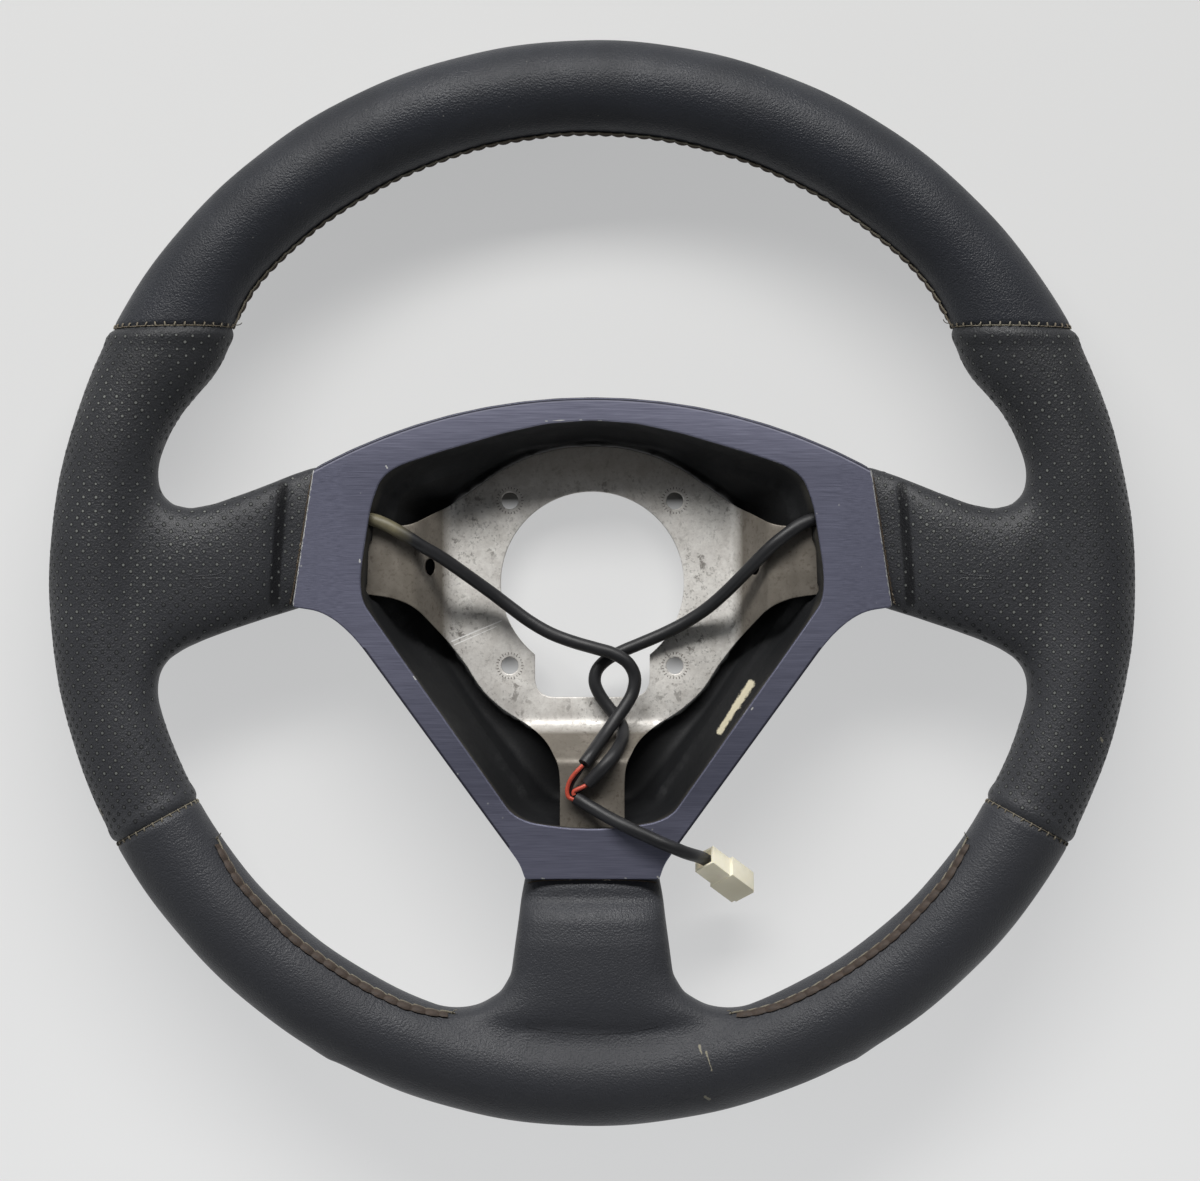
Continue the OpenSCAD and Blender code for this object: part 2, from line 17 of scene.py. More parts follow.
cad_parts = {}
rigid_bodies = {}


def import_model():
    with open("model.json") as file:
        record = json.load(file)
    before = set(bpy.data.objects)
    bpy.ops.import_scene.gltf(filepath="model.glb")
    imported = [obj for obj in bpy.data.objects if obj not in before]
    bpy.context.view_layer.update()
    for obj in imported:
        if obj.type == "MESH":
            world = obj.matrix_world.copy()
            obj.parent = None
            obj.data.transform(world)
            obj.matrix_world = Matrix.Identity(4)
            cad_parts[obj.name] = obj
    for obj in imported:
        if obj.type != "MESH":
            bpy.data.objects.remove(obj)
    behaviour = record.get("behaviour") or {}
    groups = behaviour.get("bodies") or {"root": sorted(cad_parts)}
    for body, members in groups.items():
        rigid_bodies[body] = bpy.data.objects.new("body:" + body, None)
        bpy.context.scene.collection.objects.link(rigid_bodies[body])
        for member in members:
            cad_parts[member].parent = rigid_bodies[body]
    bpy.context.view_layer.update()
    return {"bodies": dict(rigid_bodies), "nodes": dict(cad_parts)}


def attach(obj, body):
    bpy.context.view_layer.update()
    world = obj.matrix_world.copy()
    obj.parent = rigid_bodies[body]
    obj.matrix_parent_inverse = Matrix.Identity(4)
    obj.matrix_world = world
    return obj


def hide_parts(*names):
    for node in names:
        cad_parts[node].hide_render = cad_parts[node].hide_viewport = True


MM = 0.001

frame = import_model()
BODY = next(iter(frame["bodies"]))
scene = bpy.context.scene
scene.view_settings.view_transform = "Standard"

# Sizes shared with the solids
RIM_R, RIM_HALF, RIM_Z = 160.0, 15.0, 22.0
RIM_IN, RIM_OUT = RIM_R - RIM_HALF, RIM_R + RIM_HALF
THUMB_H, THUMB_ANGLE, THUMB_SPREAD = 6.0, 30.0, 7.0
UPPER_SEAM_Y, LOWER_SEAM_ANGLE, SEAM_GAP = 82.0, 28.7, 0.3
LEATHER_T = 1.3
SHEET_T, ARM_RISE = 4.0, 18.0
TRIM_Z, TRIM_T = 26.0, 2.0
TRIM_ARC_R, TRIM_TOP, TRIM_BAND = 187.0, 59.7, 7.4
WING_FOLD, FOOT_FOLD, WING_BEND = 79.0, -80.0, math.radians(4)
WING_UP, WING_DOWN, TRIM_FOOT_Y = (89.8, 36.2), (96.5, -7.7), -95.2
LAND_Z, PAD_Z, BACK_Z = 24.53, 32.53, 9.0
BOLT_SQUARE, BOLT_R, HUB_R = 54.0, 2.8, 30.0
TABLE_Z = -5.0

# Metres from the camera to the rim, and width of the view there
CAMERA_AWAY, VIEW_WIDTH = 1.25, 0.3871
FILM_WIDTH = 36


# Camera, light, table

def make_camera():
    data = bpy.data.cameras.new("studio_camera")
    camera = new_object("studio_camera", data)
    camera.location = (0.0025, -0.0024, RIM_Z * MM + CAMERA_AWAY)
    camera.rotation_euler = (0, 0, 0)
    data.sensor_fit, data.sensor_width = "HORIZONTAL", FILM_WIDTH
    data.lens = FILM_WIDTH * CAMERA_AWAY / VIEW_WIDTH
    data.clip_start, data.clip_end = 0.05, 20
    scene.camera = camera


def area_light(name, at, aim, size, watts, colour):
    data = bpy.data.lights.new(name, "AREA")
    data.shape, data.size, data.size_y = "RECTANGLE", size[0], size[1]
    data.energy, data.color = watts, colour
    lamp = new_object(name, data)
    lamp.location, lamp.visible_camera = at, False
    lamp.rotation_euler = (Vector(aim) - Vector(at)).to_track_quat("-Z", "Y").to_euler()


def make_light():
    area_light("window", (-0.1, 0.82, 0.69), (0, 0.02, 0), (1.2, 0.22), 17.5, (1.0, 0.99, 0.975))
    area_light("left_fill", (-1.2, -0.3, 0.6), (0, -0.05, 0), (0.7, 0.5), 1.2, (0.95, 0.98, 1.0))
    area_light("near_fill", (0.3, -0.95, 0.36), (0, -0.1, 0), (1.6, 0.3), 1.5, (0.97, 0.98, 1.0))
    # The room is brighter round the table than overhead
    world = bpy.data.worlds.new("studio")
    world.use_nodes = True
    n = Nodes(world.node_tree)
    back = world.node_tree.nodes["Background"]
    height = n.split(n.add("ShaderNodeTexCoord").outputs["Generated"])[2]
    back.inputs["Color"].default_value = (0.93, 0.96, 1.0, 1)
    n.put(back.inputs["Strength"], n.ramp(height, 0.05, 0.55, 0.5, 0.06))
    scene.world = world


def make_table_top():
    far = 3000
    corners = [(-far, -far, TABLE_Z), (far, -far, TABLE_Z), (far, far, TABLE_Z), (-far, far, TABLE_Z)]
    floor = new_object("table_top", mesh_from("table_top", corners, [(0, 1, 2, 3)]))
    floor.data.materials.append(MATS["table"])


# Node helpers

class Nodes:
    """Adds nodes to a tree: values and links are given by socket name or index."""

    def __init__(self, tree):
        self.tree = tree

    def add(self, kind, ins=None, **props):
        node = self.tree.nodes.new(kind)
        for name, value in props.items():
            setattr(node, name, value)
        for name, value in (ins or {}).items():
            self.put(node.inputs[name], value)
        return node

    def put(self, socket, value):
        if isinstance(value, bpy.types.NodeSocket):
            self.tree.links.new(value, socket)
        else:
            socket.default_value = value

    def maths(self, operation, a, b=0.0):
        node = self.add("ShaderNodeMath", operation=operation)
        self.put(node.inputs[0], a)
        self.put(node.inputs[1], b)
        return node.outputs[0]

    def chain(self, operation, values):
        out = values[0]
        for value in values[1:]:
            out = self.maths(operation, out, value)
        return out

    def times(self, *values):
        return self.chain("MULTIPLY", values)

    def plus(self, *values):
        return self.chain("ADD", values)

    def largest(self, *values):
        return self.chain("MAXIMUM", values)

    def vector(self, operation, a, b=None, scale=None):
        node = self.add("ShaderNodeVectorMath", operation=operation)
        self.put(node.inputs[0], a)
        if b is not None:
            self.put(node.inputs[1], b)
        if scale is not None:
            self.put(node.inputs["Scale"], scale)
        return node.outputs["Value" if operation in ("LENGTH", "DISTANCE", "DOT_PRODUCT") else "Vector"]

    def xyz(self, x, y, z):
        return self.add("ShaderNodeCombineXYZ", {"X": x, "Y": y, "Z": z}).outputs[0]

    def split(self, vector):
        return self.add("ShaderNodeSeparateXYZ", {"Vector": vector}).outputs

    def mix(self, factor, a, b):
        node = self.add("ShaderNodeMix", data_type="RGBA")
        self.put(node.inputs[0], factor)
        self.put(node.inputs[6], a if isinstance(a, bpy.types.NodeSocket) else (*a, 1))
        self.put(node.inputs[7], b if isinstance(b, bpy.types.NodeSocket) else (*b, 1))
        return node.outputs[2]

    def stain(self, colour, mask, share, stain):
        return self.mix(self.times(mask, share), colour, stain)

    def ramp(self, value, low, high, to_low=0.0, to_high=1.0):
        node = self.add("ShaderNodeMapRange", {"Value": value, "From Min": low, "From Max": high,
                                               "To Min": to_low, "To Max": to_high})
        return node.outputs[0]

    def noise(self, vector, scale, detail=3.0, rough=0.55, distortion=0.0):
        node = self.add("ShaderNodeTexNoise", {"Vector": vector, "Scale": scale, "Detail": detail,
                                               "Roughness": rough, "Distortion": distortion})
        return node.outputs["Fac"]

    def stretch(self, vector, scale):
        return self.add("ShaderNodeMapping", {"Vector": vector, "Scale": scale}).outputs[0]

    def bump(self, height, strength, distance, normal=None):
        node = self.add("ShaderNodeBump", {"Height": height, "Strength": strength, "Distance": distance})
        if normal is not None:
            self.put(node.inputs["Normal"], normal)
        return node.outputs[0]


def shader_group(name, inputs, outputs):
    """Shader node group with (name, default) inputs and named outputs."""
    group = bpy.data.node_groups.new(name, "ShaderNodeTree")
    for label, default in inputs:
        kind = "NodeSocketVector" if default is None else "NodeSocketFloat"
        socket = group.interface.new_socket(label, in_out="INPUT", socket_type=kind)
        if default is not None:
            socket.default_value = default
    for label in outputs:
        group.interface.new_socket(label, in_out="OUTPUT", socket_type="NodeSocketFloat")
    return group, group.nodes.new("NodeGroupInput"), group.nodes.new("NodeGroupOutput")


def make_grain_group():
    """Pebbled skin of leather or moulded foam: a height, and a slow mask of worn places."""
    group, given, out = shader_group(
        "skin_grain", [("Vector", None), ("Pebble Size", 0.001), ("Wear Size", 0.03)], ["Height", "Worn"])
    n = Nodes(group)
    place = given.outputs["Vector"]
    pebbles = n.maths("DIVIDE", 1.0, given.outputs["Pebble Size"])
    cells = n.add("ShaderNodeTexVoronoi", {"Vector": place, "Scale": pebbles, "Randomness": 0.9},
                  feature="SMOOTH_F1")
    fine = n.noise(place, n.times(pebbles, 1.7), 3.0, 0.6)
    n.put(out.inputs["Height"], n.plus(n.times(cells.outputs["Distance"], -0.7), n.times(fine, 0.5)))
    worn = n.noise(place, n.maths("DIVIDE", 1.0, given.outputs["Wear Size"]), 3.0, 0.6, 0.4)
    n.put(out.inputs["Worn"], n.ramp(worn, 0.38, 0.68))
    return group


def make_speck_group():
    """Scattered specks, as of dust, corrosion or nicks: 1 in a speck, 0 beside it."""
    group, given, out = shader_group(
        "specks", [("Vector", None), ("Spacing", 0.004), ("Share", 0.3), ("Patch Size", 0.03)], ["Mask"])
    n = Nodes(group)
    place = given.outputs["Vector"]
    cells = n.add("ShaderNodeTexVoronoi", {
        "Vector": place, "Scale": n.maths("DIVIDE", 1.0, given.outputs["Spacing"])})
    near = n.ramp(cells.outputs["Distance"], 0.16, 0.07)
    pick = n.add("ShaderNodeSeparateColor", {"Color": cells.outputs["Color"]})
    some = n.maths("LESS_THAN", pick.outputs[0], given.outputs["Share"])
    patch = n.noise(place, n.maths("DIVIDE", 1.0, given.outputs["Patch Size"]), 2.0)
    n.put(out.inputs["Mask"], n.times(near, some, n.ramp(patch, 0.4, 0.6)))
    return group


def place_group(n, group, **values):
    node = n.add("ShaderNodeGroup", node_tree=group)
    for label, value in values.items():
        n.put(node.inputs[label.replace("_", " ")], value)
    return node


def material(name, **plain):
    """A material with its Principled shader, whose plain sockets are set by name."""
    mat = bpy.data.materials.new(name)
    mat.use_nodes = True
    n = Nodes(mat.node_tree)
    shader = mat.node_tree.nodes["Principled BSDF"]
    for label, value in plain.items():
        shader.inputs[label.replace("_", " ")].default_value = value
    place = n.add("ShaderNodeTexCoord").outputs["Object"]
    return mat, n, shader, place


def srgb(*colour):
    """Linear colour of one that is given in steps of 0 to 255."""
    shares = [c / 255 for c in colour]
    return tuple(c / 12.92 if c <= 0.04045 else ((c + 0.055) / 1.055) ** 2.4 for c in shares)


def capsule_mask(n, place, a, b, radius, ragged=0.0):
    """1 near the line from a to b (mm, seen from the front), 0 beyond radius."""
    a, b = Vector((a[0], a[1], 0)) * MM, Vector((b[0], b[1], 0)) * MM
    off = n.vector("SUBTRACT", n.vector("MULTIPLY", place, (1, 1, 0)), a)
    along = n.vector("DOT_PRODUCT", off, (b - a) / max((b - a).length_squared, 1e-12))
    share = n.maths("MAXIMUM", n.maths("MINIMUM", along, 1.0), 0.0)
    reach = n.vector("DISTANCE", off, n.vector("SCALE", b - a, scale=share))
    if ragged:
        rough = n.noise(place, 700.0, 3.0, 0.7)
        reach = n.plus(reach, n.times(n.maths("SUBTRACT", rough, 0.5), ragged * MM))
    return n.ramp(reach, radius * MM, radius * 0.6 * MM)


# Materials

CREASE_SHADE_LINE = ((99.6, 31.0), (102.4, -6.0))
FOLD_SHADE_LINE = [(-21, -142.2), (-13, -143.8), (-4.5, -144.5), (4.5, -144.5), (13, -143.8), (21, -142.2)]
LEATHER_WEAR = [
    ((34.2, -147.6), (35.0, -150.2), 0.3), ((36.3, -149.5), (38.2, -155.5), 0.25),
    ((36.2, -164.2), (37.4, -165.0), 0.6), ((-158.3, -72.6), (-157.2, -74.4), 0.5),
    ((162.6, -49.5), (163.2, -50.6), 0.45)]
FOAM_SCRAPE = [((51.6, -32.4), (46.4, -40.2), 1.25, 1.5), ((47.6, -38.2), (41.2, -48.2), 1.0, 1.3)]
TRIM_NICKS = [
    ((-66.2, 37.6), (-65.8, 36.9), 0.3), ((-74.6, 7.6), (-74.6, 6.8), 0.25), ((-15, 52), (-14.5, 52), 0.2),
    ((-12.6, 52.1), (-9, 52.3), 0.12), ((-4, 52.4), (-3.4, 52.4), 0.22), ((2, 52.2), (3, 52.2), 0.12),
    ((-16, -94.9), (-15.4, -95), 0.3), ((10.5, -94.8), (11, -94.9), 0.25), ((21, -94.4), (21.4, -94.9), 0.3),
    ((-57.4, -30), (-56.6, -31), 0.2), ((51.6, -40), (51.2, -40.6), 0.2)]
TRIM_FLANK_SHADE = ((73.3, -21.4), (27.3, -84.6))
PLATE_SCRATCHES = [((-45.9, -19.0), (-29.8, -12.3), 0.28), ((-45.2, -20.2), (-31.5, -14.2), 0.2)]


def rim_gathers(n, at):
    """Gathers across the rim, strongest towards its inner side and its lower half."""
    turn = n.maths("ARCTAN2", at[1], at[0])
    out = n.maths("SQRT", n.plus(*(n.maths("POWER", n.maths("ABSOLUTE", v), 2.0) for v in at[:2])))
    squeeze = 0.13
    polar = n.xyz(n.times(turn, RIM_R * MM), n.times(out, squeeze), n.times(at[2], squeeze))
    folds = n.noise(polar, 1150.0, 2.0, 0.5, 0.25)
    inside = n.ramp(out, (RIM_R + 3) * MM, (RIM_IN + 4) * MM, 0.12, 1.0)
    low = n.ramp(at[1], 0.02, -0.06, 0.25, 1.0)
    return n.times(folds, inside, low)


def make_leather(name, tone, gloss, pebble, gathered):
    """Worn leather, painted lighter towards the lower rim, with painted shade in its creases at the trim and
    the lower spoke.
    """
    mat, n, shader, place = material(name, Specular_IOR_Level=0.3)
    at = n.split(place)
    grain = place_group(n, GRAIN, Vector=place, Pebble_Size=pebble, Wear_Size=0.028)
    worn = grain.outputs["Worn"]
    colour = n.mix(n.ramp(worn, 0.0, 1.0, 0.0, 0.75), tone, tuple(1.35 * c + 0.002 for c in tone))
    dust = place_group(n, SPECKS, Vector=place, Spacing=0.0019, Share=0.05, Patch_Size=0.04)
    colour = n.stain(colour, dust.outputs["Mask"], 0.3, srgb(150, 147, 140))
    # Painted light: the leather is made lighter towards the lower rim
    colour = n.mix(n.ramp(at[1], 0.12, -0.07, 0.0, 0.6), colour, srgb(66, 67, 71))
    # Painted shade in the fold where each grip leaves the trim
    for sign in (-1, 1):
        crease_shade = capsule_mask(n, place, *((sign * x, y) for x, y in CREASE_SHADE_LINE), 1.9, 0.8)
        colour = n.stain(colour, crease_shade, 0.75, srgb(12, 12, 14))
    # Painted shade along the fold across the lower spoke
    for a, b in zip(FOLD_SHADE_LINE, FOLD_SHADE_LINE[1:]):
        colour = n.stain(colour, capsule_mask(n, place, a, b, 0.25, 0.3), 0.45, srgb(16, 16, 18))
    for a, b, radius in LEATHER_WEAR:
        colour = n.stain(colour, capsule_mask(n, place, a, b, radius, 1.4), 0.7, srgb(156, 150, 130))
    n.put(shader.inputs["Base Color"], colour)
    n.put(shader.inputs["Roughness"], n.ramp(worn, 0.0, 1.0, gloss + 0.07, gloss - 0.05))
    normal = n.bump(grain.outputs["Height"], 0.85, 0.0003)
    if gathered:
        normal = n.bump(rim_gathers(n, at), 0.3, 0.0005, normal)
    n.put(shader.inputs["Normal"], normal)
    return mat


def make_seam_edge():
    mat, n, shader, place = material("seam_edge_leather", Roughness=0.7)
    n.put(shader.inputs["Base Color"], n.mix(n.noise(place, 900.0), srgb(38, 35, 33), srgb(78, 62, 50)))
    n.put(shader.inputs["Normal"], n.bump(n.noise(place, 1600.0), 0.5, 0.0003))
    return mat


def make_frayed_leather():
    mat, n, shader, place = material("frayed_leather", Roughness=0.85)
    tone = n.mix(n.noise(place, 1300.0, 3.0, 0.7), srgb(34, 31, 28), srgb(92, 78, 62))
    pale = n.ramp(n.noise(place, 420.0), 0.6, 0.68)
    n.put(shader.inputs["Base Color"], n.mix(pale, tone, srgb(168, 158, 140)))
    return mat


def make_foam_skin():
    """Moulded skin of the foam: scraped pale at one place, and dusty up under the trim's edge."""
    mat, n, shader, place = material("foam_skin", Specular_IOR_Level=0.35)
    grain = place_group(n, GRAIN, Vector=place, Pebble_Size=0.0007, Wear_Size=0.02)
    worn = grain.outputs["Worn"]
    tone = n.mix(n.times(worn, 0.5), srgb(12, 13, 15), srgb(24, 25, 27))
    scrape = n.largest(*(capsule_mask(n, place, *stroke) for stroke in FOAM_SCRAPE))
    tone = n.mix(scrape, tone, srgb(206, 198, 172))
    lip = n.ramp(n.split(place)[2], 0.0225, 0.0252)
    tone = n.stain(tone, lip, n.ramp(n.noise(place, 90.0), 0.35, 0.7, 0.25, 0.9), srgb(72, 69, 62))
    n.put(shader.inputs["Base Color"], tone)
    n.put(shader.inputs["Roughness"], n.ramp(worn, 0.0, 1.0, 0.7, 0.56))
    n.put(shader.inputs["Normal"], n.bump(grain.outputs["Height"], 0.35, 0.00015))
    return mat


def make_trim_metal():
    """Brushed blue anodising nicked to bare metal, with painted light and shade on its top, foot and edges.
    """
    mat, n, shader, place = material("anodised_trim", Metallic=0.75, Anisotropic=0.35)
    brushed = n.noise(n.stretch(place, (30.0, 1900.0, 1900.0)), 3.0, 3.0, 0.6)
    strokes = n.ramp(brushed, 0.25, 0.75)
    tone = n.mix(strokes, srgb(99, 100, 118), srgb(126, 127, 146))
    tone = n.mix(n.ramp(n.noise(place, 14.0, 2.0), 0.3, 0.7, 0.0, 0.35), tone, srgb(92, 95, 111))
    # Painted light: the top and the foot are painted paler, as lit copies of the brushed tone
    high = n.split(place)[1]
    pale = n.plus(n.ramp(high, 0.036, 0.055, 0.0, 0.75), n.ramp(high, -0.068, -0.085, 0.0, 0.5))
    tone = n.mix(pale, tone, n.mix(strokes, srgb(134, 135, 157), srgb(176, 177, 199)))
    # Painted highlight and painted shade follow the arc: a bright line, and a shaded line for the rolled edge
    reach = n.vector("DISTANCE", n.stretch(place, (1, 1, 0)), (0, (TRIM_TOP - TRIM_ARC_R) * MM, 0))
    for start, full, share, line in ((1.45, 1.25, 0.6, (188, 188, 206)), (1.05, 0.85, 0.9, (56, 57, 68))):
        painted_arc_line = n.ramp(reach, (TRIM_ARC_R - start) * MM, (TRIM_ARC_R - full) * MM)
        tone = n.stain(tone, painted_arc_line, share, srgb(*line))
    edge = n.add("ShaderNodeAttribute", attribute_name="edge").outputs["Fac"]
    nicks = place_group(n, SPECKS, Vector=place, Spacing=0.0024, Share=0.05, Patch_Size=0.03)
    bare = [n.times(edge, n.ramp(n.noise(place, 210.0, 4.0, 0.7), 0.6, 0.66))]
    bare += [n.times(nicks.outputs["Mask"], 0.6)]
    bare += [capsule_mask(n, place, a, b, radius, 0.6) for a, b, radius in TRIM_NICKS]
    for sign in (-1, 1):
        wing_end = ((sign * (x - 0.15), y) for x, y in (WING_UP, WING_DOWN))
        bare.append(n.times(capsule_mask(n, place, *wing_end, 0.26, 1.0), 0.8))
        # Painted shade along the trim's lower diagonal edges
        flank_shade = capsule_mask(n, place, *((sign * x, y) for x, y in TRIM_FLANK_SHADE), 0.9)
        tone = n.stain(tone, flank_shade, 0.8, srgb(48, 48, 58))
    n.put(shader.inputs["Base Color"], n.mix(n.largest(*bare), tone, srgb(222, 222, 218)))
    n.put(shader.inputs["Roughness"], n.ramp(brushed, 0.2, 0.8, 0.4, 0.52))
    n.put(shader.inputs["Normal"], n.bump(brushed, 0.25, 0.0001))
    return mat


def make_hub_metal():
    """Rolled metal with specks, blots and two scratches, dirty on its arms, with a painted shadow on its
    upper part.
    """
    mat, n, shader, place = material("hub_metal", Metallic=0.3)
    at = n.split(place)
    fine = n.noise(place, 650.0, 3.0, 0.7)
    cloud = n.ramp(n.noise(place, 60.0, 4.0, 0.6, 0.3), 0.35, 0.65)
    tone = n.mix(cloud, srgb(226, 223, 218), srgb(244, 242, 237))
    tone = n.mix(n.ramp(fine, 0.3, 0.75, 0.0, 0.5), tone, srgb(176, 171, 165))
    tone = n.mix(n.ramp(at[2], 0.0045, 0.009), tone, srgb(110, 104, 95))
    tone = n.mix(n.ramp(n.noise(place, 130.0, 3.0, 0.6), 0.45, 0.7, 0.0, 0.35), tone, srgb(150, 143, 134))
    patch = n.ramp(n.noise(place, 48.0), 0.36, 0.6, 0.25, 1.0)
    specks = n.ramp(n.noise(place, 900.0, 3.0, 0.6), 0.56, 0.64)
    blots = n.ramp(n.noise(n.stretch(place, (1.0, 0.8, 1.0)), 330.0, 4.0, 0.68, 0.3), 0.59, 0.66)
    tone = n.stain(tone, n.largest(n.times(specks, 0.4), n.times(blots, 0.7)), patch, srgb(70, 61, 52))
    # Painted shadow of the trim on the plate's upper part
    tone = n.mix(n.ramp(at[1], 0.024, 0.038, 0.0, 0.6), tone, srgb(158, 147, 134))
    for a, b, radius in PLATE_SCRATCHES:
        tone = n.mix(capsule_mask(n, place, a, b, radius, 0.3), tone, (0.95, 0.94, 0.92))
    n.put(shader.inputs["Base Color"], tone)
    n.put(shader.inputs["Roughness"], n.ramp(fine, 0.25, 0.75, 0.42, 0.58))
    n.put(shader.inputs["Normal"], n.bump(n.noise(place, 1500.0, 3.0, 0.7), 0.25, 0.0001))
    return mat


def make_lead_sheath():
    """Black sheath, with olive dust on its left end."""
    mat, n, shader, place = material("lead_sheath", Specular_IOR_Level=0.45)
    slow = n.noise(place, 120.0)
    dusty = n.ramp(n.split(place)[0], -0.0575, -0.064)
    tone = n.mix(slow, srgb(25, 26, 28), srgb(38, 38, 40))
    tone = n.stain(tone, dusty, n.ramp(slow, 0.25, 0.7, 0.45, 0.95), srgb(112, 106, 82))
    n.put(shader.inputs["Base Color"], tone)
    n.put(shader.inputs["Roughness"], n.ramp(slow, 0.3, 0.7, 0.42, 0.55))
    n.put(shader.inputs["Normal"], n.bump(n.noise(place, 900.0), 0.2, 0.0002))
    return mat


def make_thread():
    mat, n, shader, place = material("seam_thread", Roughness=0.8)
    twist = n.noise(place, 2500.0, 2.0)
    tone = n.mix(twist, srgb(92, 87, 76), srgb(150, 145, 128))
    tone = n.stain(tone, n.ramp(n.noise(place, 45.0, 2.0), 0.35, 0.65), 0.6, srgb(80, 66, 52))
    n.put(shader.inputs["Base Color"], tone)
    n.put(shader.inputs["Normal"], n.bump(twist, 0.6, 0.0002))
    return mat


def make_nylon():
    """Milky nylon; its faint glow stands for the light that passes through its walls."""
    mat, n, shader, place = material(
        "housing_nylon", Subsurface_Weight=0.35, Transmission_Weight=0.12, IOR=1.53)
    shader.inputs["Subsurface Radius"].default_value = (0.004, 0.0035, 0.0025)
    milky = n.mix(n.noise(place, 160.0), srgb(224, 219, 198), srgb(238, 234, 216))
    n.put(shader.inputs["Base Color"], milky)
    n.put(shader.inputs["Emission Color"], milky)
    n.put(shader.inputs["Emission Strength"], 0.18)
    n.put(shader.inputs["Roughness"], n.ramp(n.noise(place, 500.0), 0.3, 0.7, 0.34, 0.46))
    return mat


def make_hole_dust_and_shade():
    """Pale dust round the middle of each perforation, with the hole's painted shade at its edge."""
    mat, n, shader, place = material("hole_dust", Roughness=0.9)
    core = n.add("ShaderNodeAttribute", attribute_name="core").outputs["Fac"]
    dust = n.mix(n.ramp(n.noise(place, 60.0, 2.0), 0.35, 0.65), srgb(56, 58, 59), srgb(112, 114, 111))
    n.put(shader.inputs["Base Color"], n.mix(n.ramp(core, 0.2, 0.62), srgb(11, 12, 14), dust))
    return mat


def make_table_paper():
    """Paper that the camera, glossy and transmission rays see pale, with painted shade seen through the bolt
    holes.
    """
    mat, n, shader, place = material("table_paper", Roughness=0.85)
    paper = n.mix(n.noise(place, 2.5, 2.0), srgb(130, 130, 129), srgb(134, 134, 133))
    n.put(shader.inputs["Base Color"], paper)
    shader.inputs["Emission Color"].default_value = (0.99, 0.995, 1, 1)
    rays = n.add("ShaderNodeLightPath").outputs
    seen = n.largest(*(rays[kind] for kind in ("Is Camera Ray", "Is Glossy Ray", "Is Transmission Ray")))
    at = n.split(place)
    pale = n.ramp(at[1], -0.19, 0.19, 0.59, 0.42)
    # Where the camera sees the table through a bolt hole, and how high in the hole: painted shade of the hub
    # plate there
    hole = 0.0268
    off = [n.maths("SUBTRACT", n.maths("ABSOLUTE", v), hole) for v in at[:2]]
    near = n.maths("SQRT", n.plus(*(n.maths("POWER", n.maths("ABSOLUTE", v), 2.0) for v in off)))
    near = n.ramp(near, 0.005, 0.0075, 1.0, 0.0)
    high = n.maths("SUBTRACT", n.maths("MODULO", n.plus(at[1], 2 * hole), 2 * hole), hole)
    hole_shade = n.plus(n.ramp(at[1], -0.02, 0.02, 0.05, 0.35), n.ramp(high, -0.0025, 0.002, 0.1, 0.8))
    left = n.maths("SUBTRACT", 1.0, n.times(near, n.maths("MINIMUM", 1.0, hole_shade)))
    n.put(shader.inputs["Emission Strength"], n.times(seen, n.times(pale, left)))
    return mat


def mottled(name, scale, low, high, rough=None, **plain):
    """A material whose colour, and roughness where it is given, wander between two values."""
    mat, n, shader, place = material(name, **plain)
    n.put(shader.inputs["Base Color"], n.mix(n.noise(place, scale), srgb(*low), srgb(*high)))
    if rough:
        rough_scale, smooth, dull = rough
        n.put(shader.inputs["Roughness"], n.ramp(n.noise(place, rough_scale), 0.3, 0.7, smooth, dull))
    return mat


def make_materials():
    wire = {"rough": (800.0, 0.35, 0.5), "Specular_IOR_Level": 0.5}
    steel, brass = (500.0, 0.35, 0.55), (700.0, 0.25, 0.4)
    return {
        "leather": make_leather("rim_leather", srgb(31, 33, 38), 0.43, 0.0006, True),
        "grip": make_leather("perforated_leather", srgb(34, 35, 37), 0.45, 0.0007, False),
        "seam_edge": make_seam_edge(),
        "frayed": make_frayed_leather(),
        "thread": make_thread(),
        "hole": make_hole_dust_and_shade(),
        "foam": make_foam_skin(),
        "trim": make_trim_metal(),
        "hub": make_hub_metal(),
        "scored": mottled("scored_metal", 1500.0, (70, 64, 58), (150, 144, 136), Metallic=0.6, Roughness=0.6),
        "hoop": mottled("hoop_steel", 200.0, (92, 92, 94), (120, 118, 116), steel, Metallic=0.9),
        "sheath": make_lead_sheath(),
        "red_wire": mottled("red_wire", 400.0, (168, 62, 46), (196, 84, 64), **wire),
        "black_wire": mottled("black_wire", 400.0, (30, 30, 32), (44, 44, 46), **wire),
        "nylon": make_nylon(),
        "brass": mottled("terminal_brass", 900.0, (170, 140, 80), (205, 178, 112), brass, Metallic=1.0),
        "foil": mottled("horn_foil", 300.0, (190, 184, 168), (206, 200, 186), Roughness=0.5),
        "table": make_table_paper(),
    }


# Mesh helpers

def new_object(name, mesh):
    obj = bpy.data.objects.new(name, mesh)
    scene.collection.objects.link(obj)
    return obj


def mesh_from(name, points, faces, edges=()):
    """Mesh from points in millimetres."""
    mesh = bpy.data.meshes.new(name)
    places = [tuple(float(v) * MM for v in p) for p in points]
    mesh.from_pydata(places, list(edges), [tuple(int(i) for i in f) for f in faces])
    mesh.validate()
    mesh.update()
    return mesh


@contextmanager
def opened(mesh):
    """The mesh as an editable one, written back at the end."""
    bm = bmesh.new()
    bm.from_mesh(mesh)
    yield bm
    bm.to_mesh(mesh)
    bm.free()


